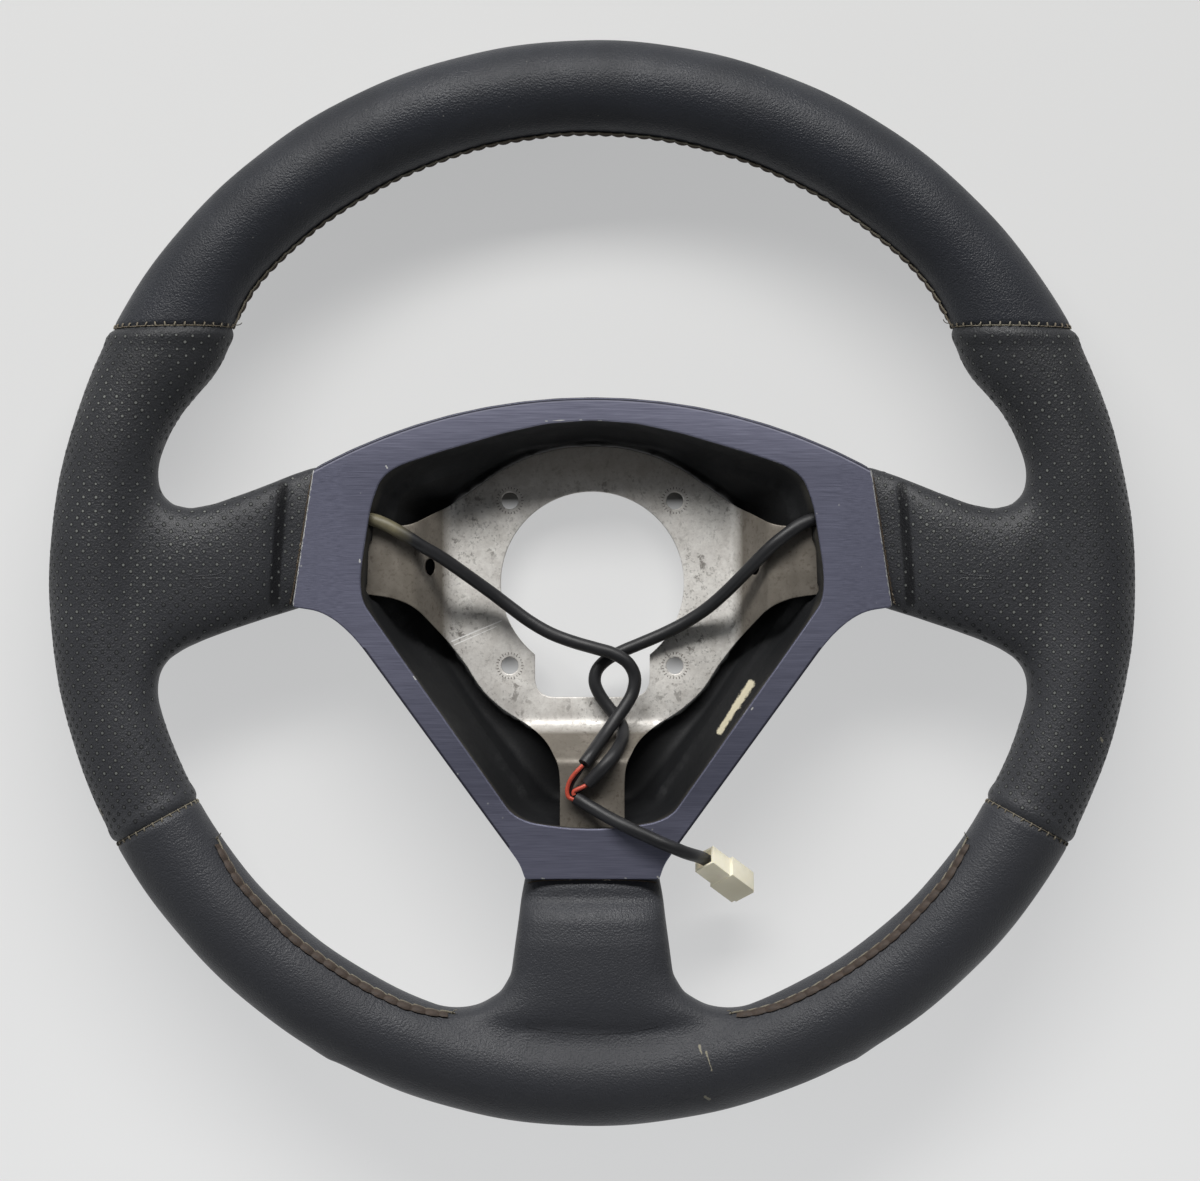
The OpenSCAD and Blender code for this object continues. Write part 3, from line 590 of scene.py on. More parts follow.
def cut(bm, at, normal, clear=True, faces=None):
    """Cuts the faces, or the whole mesh, along a plane; clear removes the side that normal points to."""
    geom = bm.verts[:] + bm.edges[:] + bm.faces[:]
    if faces:
        geom = list({v for f in faces for v in f.verts}) + list({e for f in faces for e in f.edges}) + faces
    bmesh.ops.bisect_plane(bm, geom=geom, dist=1e-7, plane_co=Vector(at) * MM,
                           plane_no=Vector(normal).normalized(), clear_outer=clear)


def shade(obj, mat, angle=None):
    """One material and smooth faces, with edges above the angle left sharp."""
    obj.data.materials.clear()
    obj.data.materials.append(mat)
    obj.data.shade_smooth()
    if angle is not None:
        obj.data.set_sharp_from_angle(angle=math.radians(angle))


def baked(obj):
    """A new object of the same name that holds obj's mesh with its modifiers applied."""
    name = obj.name
    graph = bpy.context.evaluated_depsgraph_get()
    out = new_object(name, bpy.data.meshes.new_from_object(obj.evaluated_get(graph), depsgraph=graph))
    old = obj.data
    bpy.data.objects.remove(obj)
    bpy.data.meshes.remove(old)
    out.name = name
    return out


def get_points(mesh):
    points = np.empty(len(mesh.vertices) * 3)
    mesh.vertices.foreach_get("co", points)
    return points.reshape(-1, 3) / MM


def set_points(mesh, points):
    mesh.vertices.foreach_set("co", (points * MM).ravel())
    mesh.update()


def seat(obj, *nodes, slot):
    """The piece rides on the wheel and stands for its nodes, which it hides; slot is not used."""
    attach(obj, BODY)
    if nodes:
        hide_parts(*nodes)


def through(points, per=8):
    """Smooth curve through the points (Catmull-Rom with centripetal spacing)."""
    p = np.array(points, float)
    p = np.vstack([2 * p[0] - p[1], p, 2 * p[-1] - p[-2]])
    out = []
    for i in range(1, len(p) - 2):
        four = p[i - 1:i + 3]
        gaps = np.linalg.norm(np.diff(four, axis=0), axis=1)
        t = np.cumsum([0, *np.maximum(gaps, 1e-9) ** 0.5])
        for u in np.linspace(t[1], t[2], per, endpoint=False):
            q = [((t[j + 1] - u) * four[j] + (u - t[j]) * four[j + 1]) / (t[j + 1] - t[j]) for j in range(3)]
            r = [((t[j + 2] - u) * q[j] + (u - t[j]) * q[j + 1]) / (t[j + 2] - t[j]) for j in range(2)]
            out.append(((t[2] - u) * r[0] + (u - t[1]) * r[1]) / (t[2] - t[1]))
    return np.array(out + [p[-2]])


def curve_object(name, points, radius, mat, sides):
    """Round cord along the points, with closed ends."""
    data = bpy.data.curves.new(name, "CURVE")
    data.dimensions = "3D"
    data.bevel_depth = radius * MM
    data.bevel_resolution = sides
    data.use_fill_caps = True
    line = data.splines.new("POLY")
    line.points.add(len(points) - 1)
    for point, at in zip(line.points, points):
        point.co = (*(float(v) * MM for v in at), 1)
    data.materials.append(mat)
    return new_object(name, data)


# Leads

LEAD_D, WIRE_D = 4.2, 1.4
ROUTES = {
    "lead_left": [
        (-77, 21.4, 22), (-73.5, 21, 22.8), (-70.5, 20.4, 23.8), (-66.8, 19, 25), (-63, 17, 25.4),
        (-59, 14.6, 25.2), (-55, 12, 23.8), (-49.5, 8.8, 20.4), (-44, 5, 17), (-38.5, 1, 13.8),
        (-33, -3, 11.4), (-27, -7.6, 10), (-20.5, -12.4, 9.6), (-13.5, -16.4, 10), (-6, -19.2, 10.8),
        (1, -21.2, 11.4), (7, -23, 11.6), (11.6, -26, 11.4), (13.8, -30.4, 11), (13.2, -35.4, 11),
        (10.6, -40.2, 12.2), (7.2, -44.8, 13.8), (4, -49.2, 16.8), (1.4, -52.8, 20.6),
        (-0.8, -55.8, 23.8), (-2.6, -58.2, 25.2)],
    "lead_right": [
        (77, 21.4, 22), (73.5, 20.9, 22.8), (70.5, 20.3, 23.8), (66.6, 18.6, 25), (62.6, 15.8, 25.4),
        (58.8, 12.8, 25.2), (55, 9.2, 23.8), (51.2, 5.2, 20.8), (47.2, 1, 17), (42.4, -3.8, 13.4),
        (36.8, -8.6, 10.2), (30.4, -12.8, 8), (23.4, -16.4, 7), (16, -19.6, 6.8), (9.4, -22.4, 6.7),
        (4.4, -25.2, 6.7), (1.4, -28.6, 6.7), (0.8, -32.4, 6.7), (2.4, -36.4, 6.7), (5.2, -40.4, 6.7),
        (8, -44, 7.4), (9.8, -47.2, 10.8), (9.8, -50.2, 15.4), (8.4, -53.2, 20.4), (6.2, -56.2, 24.8),
        (3.4, -59.4, 26), (0.8, -62.2, 25.2), (-1.4, -64.6, 24.4)],
    "lead_main": [
        (-5.4, -69.2, 24.3), (-2.4, -71, 24.9), (1.6, -73.2, 26.4), (6, -75.6, 28.6), (10.4, -77.8, 30.4),
        (14.6, -79.8, 30.8), (18.6, -81.6, 30.8), (22.6, -83.4, 30.9), (26.4, -85, 30.2), (29.6, -86.4, 28.6),
        (32.2, -87.4, 25.8), (34, -88.1, 22.6), (35.5, -88.8, 19.9), (37.1, -89.8, 17.9)],
}
WIRES = {
    "wire_red_left": [
        (-3, -58.6, 26), (-4.8, -60.4, 26.2), (-6.6, -62.6, 25.8), (-7.8, -65.2, 25.2), (-8.1, -67.4, 25),
        (-7.5, -69, 25), (-6.1, -69.7, 25)],
    "wire_black_left": [
        (-2.8, -58.8, 24.6), (-4, -60.8, 24.6), (-5.4, -62.9, 24.4), (-6.6, -65, 23.9), (-7.2, -67, 23.6),
        (-7.1, -68.8, 23.5), (-6.1, -69.6, 23.5)],
    "wire_red_right": [
        (-1.9, -65, 25.3), (-3.2, -65.7, 25.6), (-4.8, -66.4, 25.5), (-6, -67.2, 25.3), (-5.9, -68.2, 25.2)],
    "wire_black_right": [
        (-1.9, -65.2, 23.7), (-3, -66.2, 23.5), (-4.2, -66.9, 23.3), (-5.4, -67.4, 23.2),
        (-5.8, -68.4, 23.4)],
}
# The connector's inner ends of wire, seen in its open rear
REAR_CORES = [
    ("rear_core_pale", (36.6, -89.2, 18.6), (42.4, -93.4, 15.2), 0.9, "nylon", "nylon"),
    ("rear_core_red", (36.4, -90.2, 17.6), (42, -94.4, 14.2), 0.75, "red_wire", "wire_red")]


def make_wires():
    wires = {}
    for name, route in WIRES.items():
        colour = "red" if "red" in name else "black"
        core = name.replace("wire", "core")
        wires[name] = curve_object(core, through(route, 5), WIRE_D / 2, MATS[f"{colour}_wire"], 3)
        seat(wires[name], name, slot=f"wire_{colour}")
    return wires


def make_leads():
    """The three leads as cords, and the wires and the connector that hang on them."""
    wires = make_wires()
    housing = make_connector()
    for name, route in ROUTES.items():
        line = through(route, 5)
        lead = curve_object(name.replace("lead", "sheath"), line, LEAD_D / 2, MATS["sheath"], 6)
        seat(lead, name, slot="lead_sheath")


def make_connector():
    """Nylon housing with rounded edges, and two cores in its open rear."""
    source = frame["nodes"]["connector_housing"].data.copy()
    with opened(source) as bm:
        bmesh.ops.remove_doubles(bm, verts=bm.verts, dist=1e-5)
        bmesh.ops.dissolve_limit(bm, angle_limit=math.radians(2), verts=bm.verts, edges=bm.edges)
    housing = new_object("plug_housing", source)
    bevel = housing.modifiers.new("rounding", "BEVEL")
    bevel.width, bevel.segments = 0.32 * MM, 2
    bevel.limit_method, bevel.angle_limit = "ANGLE", math.radians(35)
    housing = baked(housing)
    shade(housing, MATS["nylon"], 35)
    seat(housing, "connector_housing", slot="nylon")
    pieces = [housing]
    for name, start, end, radius, mat, slot in REAR_CORES:
        core = curve_object(name, [start, end], radius, MATS[mat], 3)
        seat(core, slot=slot)
        pieces.append(core)
    return pieces


# Leather

def eased(table, soft=0.02):
    """Function through (share, value) rows with its corners eased."""
    table = np.array(table, float)
    spare, count = 0.3, 1400
    x = np.linspace(table[0, 0] - spare, table[-1, 0] + spare, count)
    y = np.interp(x, table[:, 0], table[:, 1])
    step = x[1] - x[0]
    reach = int(3 * soft / step) + 1
    kernel = np.exp(-0.5 * (np.arange(-reach, reach + 1) * step / soft) ** 2)
    y = np.convolve(np.pad(y, reach, mode="edge"), kernel / kernel.sum(), "valid")
    return lambda s: np.interp(s, x, y)


# Share of the way from the trim to the rim, fall of the upper and of the lower edge, height of the front
SIDE = [
    (-0.10, -1.4, -0.8, LAND_Z), (0.0, -1.3, 0.8, LAND_Z), (0.13, 1.1, 2.8, LAND_Z + 0.8),
    (0.17, 2.0, 3.4, LAND_Z + 4), (0.24, 3.6, 4.6, LAND_Z + 6.4), (0.40, 7.1, 7.2, PAD_Z),
    (0.58, 10.7, 10.4, PAD_Z + 0.4), (0.72, 12.2, 13.4, PAD_Z + 0.6), (0.83, 10.9, 16.8, PAD_Z + 0.5),
    (0.92, 6.0, 22.6, PAD_Z), (1.00, -3.6, 31.0, PAD_Z - 0.5), (1.14, -17.7, 44.0, PAD_Z - 2)]
# Share of the way, width as a share of LOWER_W, height of the front
LOWER = [
    (-0.06, 0.99, LAND_Z), (0.005, 1.0, LAND_Z), (0.04, 1.02, LAND_Z + 1.3), (0.14, 1.06, LAND_Z + 1.5),
    (0.18, 1.07, LAND_Z + 4), (0.26, 1.09, LAND_Z + 6.4), (0.42, 1.14, PAD_Z), (0.62, 1.20, PAD_Z + 0.4),
    (0.74, 1.36, PAD_Z + 0.5), (0.82, 1.66, PAD_Z + 0.4), (0.88, 2.1, PAD_Z), (1.12, 3.2, PAD_Z - 2)]
LOWER_W = 21.8
# Where the spokes' form ends inside the rim, and where the lower one starts
SIDE_END, LOWER_END, LOWER_START = 153, -151, -84
# How far the leather runs under the trim: at the wing's upper and lower corner, and at the foot
TUCK_UP, TUCK_DOWN, TUCK_FOOT = 5.5, 4.85, 2.988
SKIN_VOXEL = 1.35
# Beyond this radius the seams mark the leather, and this close to them its mesh is finer
SEAMS_FROM_R, SEAM_FINE = 125, 4.5
side_up, side_down, side_front = (eased([(r[0], r[i]) for r in SIDE]) for i in (1, 2, 3))
lower_wide, lower_front = (eased([(r[0], r[i]) for r in LOWER]) for i in (1, 2))


def inner_edge(angle):
    """Inner edge of the rim at an angle in degrees."""
    fold = np.degrees(np.arcsin(np.sin(np.radians(angle))))
    return RIM_IN - THUMB_H * np.exp(-((fold - THUMB_ANGLE) / THUMB_SPREAD) ** 2)


def rim_field(p):
    """Distance from the rim's surface, about in millimetres, negative inside."""
    r = np.hypot(p[:, 0], p[:, 1])
    inner = inner_edge(np.degrees(np.arctan2(p[:, 1], p[:, 0])))
    q = np.hypot((r - (RIM_OUT + inner) / 2) / ((RIM_OUT - inner) / 2), (p[:, 2] - RIM_Z) / RIM_HALF)
    return (q - 1) * RIM_HALF


def box_field(w, z, front):
    """Distance from the surface of a spoke with a squarish section, w from -1 to 1 across it."""
    mid, tall = (front + BACK_Z) / 2, (front - BACK_Z) / 2
    return ((np.abs(w) ** 3 + np.abs((z - mid) / tall) ** 3) ** (1 / 3) - 1) * tall


def side_share(p):
    """Share of the way from the trim to the rim, and across the spoke from -1 to 1."""
    ax, y = np.abs(p[:, 0]), p[:, 1]
    v = np.clip((y - WING_DOWN[1]) / (WING_UP[1] - WING_DOWN[1]), -0.4, 1.4)
    for _ in range(6):
        start = WING_DOWN[0] + (WING_UP[0] - WING_DOWN[0]) * v
        s = (ax - start) / (RIM_IN - start)
        up, down = WING_UP[1] - side_up(s), WING_DOWN[1] - side_down(s)
        v = np.clip((y - down) / (up - down), -0.4, 1.4)
    return s, 2 * (y - down) / (up - down) - 1


def side_field(p):
    s, w = side_share(p)
    return np.maximum(box_field(w, p[:, 2], side_front(s)), np.abs(p[:, 0]) - SIDE_END)


def lower_field(p):
    s = (TRIM_FOOT_Y - p[:, 1]) / (RIM_IN + TRIM_FOOT_Y)
    ends = np.maximum(LOWER_END - p[:, 1], p[:, 1] - LOWER_START)
    return np.maximum(box_field(p[:, 0] / (LOWER_W * lower_wide(s)), p[:, 2], lower_front(s)), ends)


def joined(a, b, k):
    """Union of two fields with a soft corner."""
    h = np.maximum(k - np.abs(a - b), 0) / k
    return np.minimum(a, b) - h * h * k / 4


def wheel_field(p):
    return joined(joined(rim_field(p), side_field(p), 5.0), lower_field(p), 5.0)


def slope(p, step=0.05):
    """How fast the field rises along each axis."""
    rises = [wheel_field(p + e) - wheel_field(p - e) for e in np.eye(3) * step]
    return np.stack(rises, axis=1) / (2 * step)


def leather_normals(p):
    g = slope(p)
    return g / np.maximum(np.linalg.norm(g, axis=1), 1e-9)[:, None]


def drop_onto(points, rounds=6):
    """Moves points along the field's slope, a little at a time, until they lie on its surface."""
    p, most = points.copy(), 2.0
    for _ in range(rounds):
        g = slope(p)
        step = wheel_field(p)[:, None] * g / np.maximum((g ** 2).sum(1), 0.05)[:, None]
        size = np.linalg.norm(step, axis=1)[:, None]
        p -= step * np.minimum(1, most / np.maximum(size, 1e-9))
    return p


def lofted(sections, close=False):
    """Points and faces of a skin over rings; close joins the last ring to the first."""
    count, rings = len(sections[0]), len(sections)
    points = [p for s in sections for p in s]
    faces = []
    for i in range(rings if close else rings - 1):
        j = (i + 1) % rings
        for k in range(count):
            m = (k + 1) % count
            faces.append((i * count + k, i * count + m, j * count + m, j * count + k))
    if not close:
        faces += [tuple(range(count))[::-1], tuple((rings - 1) * count + k for k in range(count))]
    return points, faces


def squared(v):
    """Cosine or sine pulled out, so that a circle becomes the section that box_field gives."""
    return math.copysign(abs(v) ** (2 / 3), v)


def spoke_rings(kind, sign):
    """Rings round a side or the lower spoke, from under the trim into the rim."""
    rings = []
    for s in np.linspace(-0.1 if kind == "side" else -0.06, 1.1, 26):
        if kind == "side":
            a = np.array([WING_UP[0] + s * (RIM_IN - WING_UP[0]), WING_UP[1] - float(side_up(s))])
            b = np.array([WING_DOWN[0] + s * (RIM_IN - WING_DOWN[0]), WING_DOWN[1] - float(side_down(s))])
            front = float(side_front(s))
        else:
            y = TRIM_FOOT_Y - s * (RIM_IN + TRIM_FOOT_Y)
            w = LOWER_W * float(lower_wide(s))
            a, b, front = np.array([w, y]), np.array([-w, y]), float(lower_front(s))
        mid, half = (a + b) / 2, (a - b) / 2
        level, tall = (front + BACK_Z) / 2, (front - BACK_Z) / 2
        ring = []
        for u in np.linspace(0, 2 * math.pi, 32, endpoint=False):
            q = mid + half * squared(math.cos(u))
            ring.append((sign * q[0], q[1], level + tall * squared(math.sin(u))))
        rings.append(ring)
    return rings


def leather_body():
    """One closed skin round the rim and the spokes."""
    rim = [[rim_point(t, u) for u in np.linspace(0, 360, 40, endpoint=False)]
           for t in np.linspace(0, 360, 240, endpoint=False)]
    points, faces = [], []
    for skin in (lofted(rim, True), lofted(spoke_rings("side", 1)), lofted(spoke_rings("side", -1)),
                 lofted(spoke_rings("lower", 1))):
        base = len(points)
        points += skin[0]
        faces += [tuple(base + i for i in f) for f in skin[1]]
    mesh = mesh_from("leather_form", points, faces)
    with opened(mesh) as bm:
        bmesh.ops.recalc_face_normals(bm, faces=bm.faces)
    form = new_object("leather_form", mesh)
    remesh = form.modifiers.new("skin", "REMESH")
    remesh.mode, remesh.voxel_size = "VOXEL", SKIN_VOXEL * MM
    form = baked(form)
    set_points(form.data, drop_onto(get_points(form.data)))
    return form


def seam_distances(p):
    """Signed distances from the upper and the lower seams, positive on the grips' side."""
    up = UPPER_SEAM_Y - p[:, 1]
    a = math.radians(LOWER_SEAM_ANGLE)
    down = np.abs(p[:, 0]) * math.sin(a) + p[:, 1] * math.cos(a)
    return up, down


def leather_relief(p):
    """How far the leather stands above the plain form."""
    up, down = seam_distances(p)
    away = np.minimum(np.abs(up), np.abs(down))
    near_rim = np.clip((np.hypot(p[:, 0], p[:, 1]) - SEAMS_FROM_R) / 8, 0, 1)
    # A groove at each seam, and a swelling of the grips beside it
    out = -0.75 * np.exp(-away ** 2) * near_rim
    grip = np.minimum(up, down)
    out += 0.45 * np.exp(-((grip - 3.2) / 2.2) ** 2) * near_rim * (grip > 0)
    # Slow waves of the hide
    t = np.arctan2(p[:, 1], p[:, 0])
    out += 0.10 * np.sin(9 * t + 1.3) * np.sin(p[:, 2] / 9 + 3 * t) + 0.07 * np.sin(31 * t + p[:, 2] / 5)
    # The fold at the lower spoke
    fold = p[:, 1] + 143 + 0.8 * np.sin(p[:, 0] / 7)
    imprint = np.exp(-(fold / 1.3) ** 2) * (np.abs(p[:, 0]) < 26) * (p[:, 2] > 22)
    return out - 0.28 * imprint


def near_seam(edge):
    middle = np.array([(edge.verts[0].co + edge.verts[1].co) / 2 / MM])
    up, down = seam_distances(middle)
    return min(abs(up[0]), abs(down[0])) < SEAM_FINE and math.hypot(*middle[0, :2]) > SEAMS_FROM_R


def leather_piece(form, name, cuts, kept, mat, slot, node):
    """One piece of leather: the form, cut along planes (at, normal, where it cuts) and given its relief."""
    mesh = form.data.copy()
    with opened(mesh) as bm:
        for at, normal, where in cuts:
            faces = [f for f in bm.faces if where and where(f.calc_center_median() / MM)]
            cut(bm, at, normal, where is None, faces)
        if kept:
            gone = [f for f in bm.faces if not kept(f.calc_center_median() / MM)]
            bmesh.ops.delete(bm, geom=gone, context="FACES")
        bmesh.ops.subdivide_edges(bm, edges=[e for e in bm.edges if near_seam(e)], cuts=1, use_grid_fill=True)
    mesh.name = name
    obj = new_object(name, mesh)
    p = drop_onto(get_points(mesh), rounds=2)
    set_points(mesh, p + leather_normals(p) * leather_relief(p)[:, None])
    skin = obj.modifiers.new("thickness", "SOLIDIFY")
    skin.thickness, skin.offset, skin.use_rim = LEATHER_T * MM, -1, True
    obj = baked(obj)
    shade(obj, mat, 60)
    seat(obj, node, slot=slot)
    return obj


def make_leather_pieces():
    form = leather_body()
    a = math.radians(LOWER_SEAM_ANGLE)
    half = SEAM_GAP / 2
    drop = half / math.cos(a)
    low = Vector((WING_DOWN[0] - TUCK_DOWN, WING_DOWN[1] + 0.8, 0))
    high = Vector((WING_UP[0] - TUCK_UP, WING_UP[1] + 0.2, 0))
    along = (high - low).normalized()
    foot_y, foot_half = TRIM_FOOT_Y + TUCK_FOOT, 60
    pieces = {}
    pieces["top"] = leather_piece(
        form, "leather_top_skin", [((0, UPPER_SEAM_Y + half, 0), (0, -1, 0), None)], None,
        MATS["leather"], "leather", "leather_top")
    for side, sign in (("left", -1), ("right", 1)):
        pieces[side] = leather_piece(
            form, f"grip_{side}_skin",
            [((0, 0, 0), (-sign, 0, 0), None),
             ((0, UPPER_SEAM_Y - half, 0), (0, 1, 0), None),
             ((0, drop, 0), (-sign * math.sin(a), -math.cos(a), 0), None),
             ((sign * low.x, low.y, 0), (-sign * along.y, along.x, 0), None)],
            None, MATS["grip"], "leather_grip", f"grip_{side}")
    pieces["bottom"] = leather_piece(
        form, "leather_bottom_skin",
        [((0, -drop, 0), (math.sin(a), math.cos(a), 0), None),
         ((0, -drop, 0), (-math.sin(a), math.cos(a), 0), None),
         ((0, foot_y, 0), (0, 1, 0), lambda c: abs(c[0]) < foot_half)],
        lambda c: c[1] < foot_y or abs(c[0]) > foot_half,
        MATS["leather"], "leather", "leather_bottom")
    bpy.data.objects.remove(form)
    return pieces


# Foam

FOAM_VOXEL = 1.5
# The floor of the tray stays sharp up to the first height, and is soft from the second
FLOOR_SHARP, FLOOR_SOFT = 5, 9
# The wall of the tray draws back under the trim, from a height at which it starts to one at which it is full
LIP_PULL, LIP_START, LIP_FULL, LIP_REACH = 1.9, 6, 14, 7


def drawn_back(p):
    """The points with the tray's wall drawn back from the trim's opening."""
    line = np.array(trim_opening())
    step = np.roll(line, -1, 0) - line
    in_tray = (np.abs(p[:, 0]) < 76) & (p[:, 1] > -80) & (p[:, 1] < 54)
    inner = np.nonzero((p[:, 2] > LIP_START) & in_tray)[0]
    share = ((p[inner, None, :2] - line) * step).sum(2) / (step ** 2).sum(1)
    near = line + np.clip(share, 0, 1)[:, :, None] * step
    gap = near - p[inner, None, :2]
    reach = np.linalg.norm(gap, axis=2)
    best = reach.argmin(1)
    gap, reach = gap[np.arange(len(inner)), best], reach.min(1)
    turned = step[best, 0] * -gap[:, 1] - step[best, 1] * -gap[:, 0]
    inside = (turned < 0) & (reach < LIP_REACH)
    rise = np.clip((p[inner, 2] - LIP_START) / (LIP_FULL - LIP_START), 0, 1)
    pull = np.minimum(LIP_PULL, reach) * rise * inside
    p[inner, :2] += gap / np.maximum(reach, 1e-6)[:, None] * pull[:, None]
    return p


def make_foam():
    """The moulded foam: the solid's own form with its edges softened."""
    mesh = frame["nodes"]["foam_body"].data.copy()
    with opened(mesh) as bm:
        bmesh.ops.remove_doubles(bm, verts=bm.verts, dist=1e-6)
    foam = new_object("foam_core", mesh)
    remesh = foam.modifiers.new("skin", "REMESH")
    remesh.mode, remesh.voxel_size = "VOXEL", FOAM_VOXEL * MM
    foam = baked(foam)
    sharp = get_points(foam.data)
    smooth = foam.modifiers.new("soft_edges", "SMOOTH")
    smooth.factor, smooth.iterations = 0.5, 6
    foam = baked(foam)
    # The floor stays sharp, so that it closes round the hub plate
    p = get_points(foam.data)
    soft = np.clip((p[:, 2:] - FLOOR_SHARP) / (FLOOR_SOFT - FLOOR_SHARP), 0, 1)
    set_points(foam.data, drawn_back(p * soft + sharp * (1 - soft)))
    shade(foam, MATS["foam"])
    seat(foam, "foam_body", slot="foam")


# Sheet metal

def rounded(corners, radius):
    """Closed outline with its corners rounded; a corner's third value is its own radius."""
    out = []
    n = len(corners)
    for i, c in enumerate(corners):
        r = c[2] if len(c) > 2 else radius
        p = np.array(c[:2], float)
        a = np.array(corners[i - 1][:2], float) - p
        b = np.array(corners[(i + 1) % n][:2], float) - p
        la, lb = np.linalg.norm(a), np.linalg.norm(b)
        cosine = np.clip(a @ b / (la * lb), -1, 1)
        turn = math.pi - math.acos(cosine)
        take = min(r * math.tan(turn / 2), 0.48 * la, 0.48 * lb)
        if turn < 0.01 or take < 0.01:
            out.append(p)
            continue
        s, e = p + a / la * take, p + b / lb * take
        for u in np.linspace(0, 1, 2 + int(math.degrees(turn) / 5)):
            out.append((1 - u) ** 2 * s + 2 * u * (1 - u) * p + u * u * e)
    return out


def both_sides(half):
    """Outline from its right half, listed from the middle of the top downwards."""
    return list(half) + [(-p[0], *p[1:]) for p in half if p[0] > 0.01][::-1]


def oval(x, y, wide, high, count):
    turns = np.linspace(0, 2 * math.pi, count, endpoint=False)
    return [(x + wide * math.cos(a), y + high * math.sin(a)) for a in turns]


def moved_line(points, distance):
    """Closed line moved to its left by a distance, with mitred corners."""
    p = np.array(points, float)
    a, b = p - np.roll(p, 1, 0), np.roll(p, -1, 0) - p
    a /= np.linalg.norm(a, axis=1)[:, None]
    b /= np.linalg.norm(b, axis=1)[:, None]
    side = np.stack([-(a + b)[:, 1], (a + b)[:, 0]], 1)
    return p + distance * side / np.maximum(1 + (a * b).sum(1), 0.4)[:, None]


def within(loops, places):
    """Whether each place lies in the sheet, which is inside an odd number of the loops."""
    inside = np.zeros(len(places), bool)
    x, y = places[:, 0], places[:, 1]
    for loop in loops:
        for a, b in zip(loop, np.roll(loop, -1, 0)):
            if a[1] != b[1]:
                level = (a[1] > y) != (b[1] > y)
                inside ^= level & (x < a[0] + (b[0] - a[0]) * (y - a[1]) / (b[1] - a[1]))
    return inside


def flat_sheet(name, outlines, thick, bevel):
    """Sheet with its lower face at height 0, holes and rounded edges, before it is bent."""
    points, faces, loops = [], [], []
    turns = [math.radians(t) for t in (0, 30, 60, 90)]
    profile = [(bevel * (1 - math.sin(t)), bevel * (1 - math.cos(t))) for t in turns]
    profile += [(inset, thick - z) for inset, z in profile[::-1]]
    for i, line in enumerate(outlines):
        p = np.array([c[:2] for c in line], float)
        q = np.roll(p, -1, 0)
        if ((p[:, 0] * q[:, 1] - q[:, 0] * p[:, 1]).sum() > 0) == (i > 0):
            p = p[::-1]
        n, base = len(p), len(points)
        for inset, z in profile:
            points += [(x, y, z) for x, y in moved_line(p, inset)]
        for r in range(len(profile) - 1):
            for k in range(n):
                a, b = base + r * n + k, base + r * n + (k + 1) % n
                faces.append((a, b, b + n, a + n))
        loops.append(moved_line(p, bevel))
    flat = [Vector(c) for loop in loops for c in loop]
    edges, start = [], 0
    for loop in loops:
        edges += [(start + k, start + (k + 1) % len(loop)) for k in range(len(loop))]
        start += len(loop)
    verts, _, tris, *_ = delaunay_2d_cdt(flat, edges, [], 1, 1e-5)
    middles = np.array([np.mean([verts[i][:2] for i in t], axis=0) for t in tris])
    tris = [t for t, kept in zip(tris, within(loops, middles)) if kept]
    for z, flip in ((0, True), (thick, False)):
        base = len(points)
        points += [(v[0], v[1], z) for v in verts]
        faces += [tuple(base + i for i in (t[::-1] if flip else t)) for t in tris]
    sheet = new_object(name, mesh_from(name, points, faces))
    with opened(sheet.data) as bm:
        bmesh.ops.remove_doubles(bm, verts=bm.verts, dist=2e-6)
        bmesh.ops.recalc_face_normals(bm, faces=bm.faces)
    return sheet


def slice_sheet(sheet, across, along):
    """Cuts the flat sheet at each x of across and each y of along, so that it can bend there."""
    with opened(sheet.data) as bm:
        for x in across:
            cut(bm, (x, 0, 0), (1, 0, 0), False)
        for y in along:
            cut(bm, (0, y, 0), (0, 1, 0), False)


def trim_arc(far, steps):
    """The trim's upper edge from its middle to far, along the arc."""
    out = []
    for i in range(steps + 1):
        a = math.asin(far / TRIM_ARC_R) * i / steps
        out.append((TRIM_ARC_R * math.sin(a), TRIM_TOP - TRIM_ARC_R * (1 - math.cos(a))))
    return out


def trim_opening():
    """Outline of the opening that the horn pad closes."""
    top = TRIM_TOP - TRIM_BAND
    half = [
        (0, top), (14.2, top - 1), (28.7, top - 4.2), (49.7, top - 10.4), (62.3, top - 14.6),
        (67.7, top - 18.4), (71, top - 26.8), (73.9, 6.8), (74.5, 0.3), (73.8, -6), (69.2, -12.7),
        (26, -74.2), (20.4, -76.9), (14.2, -77.9), (7.7, -78.7), (0, -79)]
    return rounded(both_sides(half), 40)


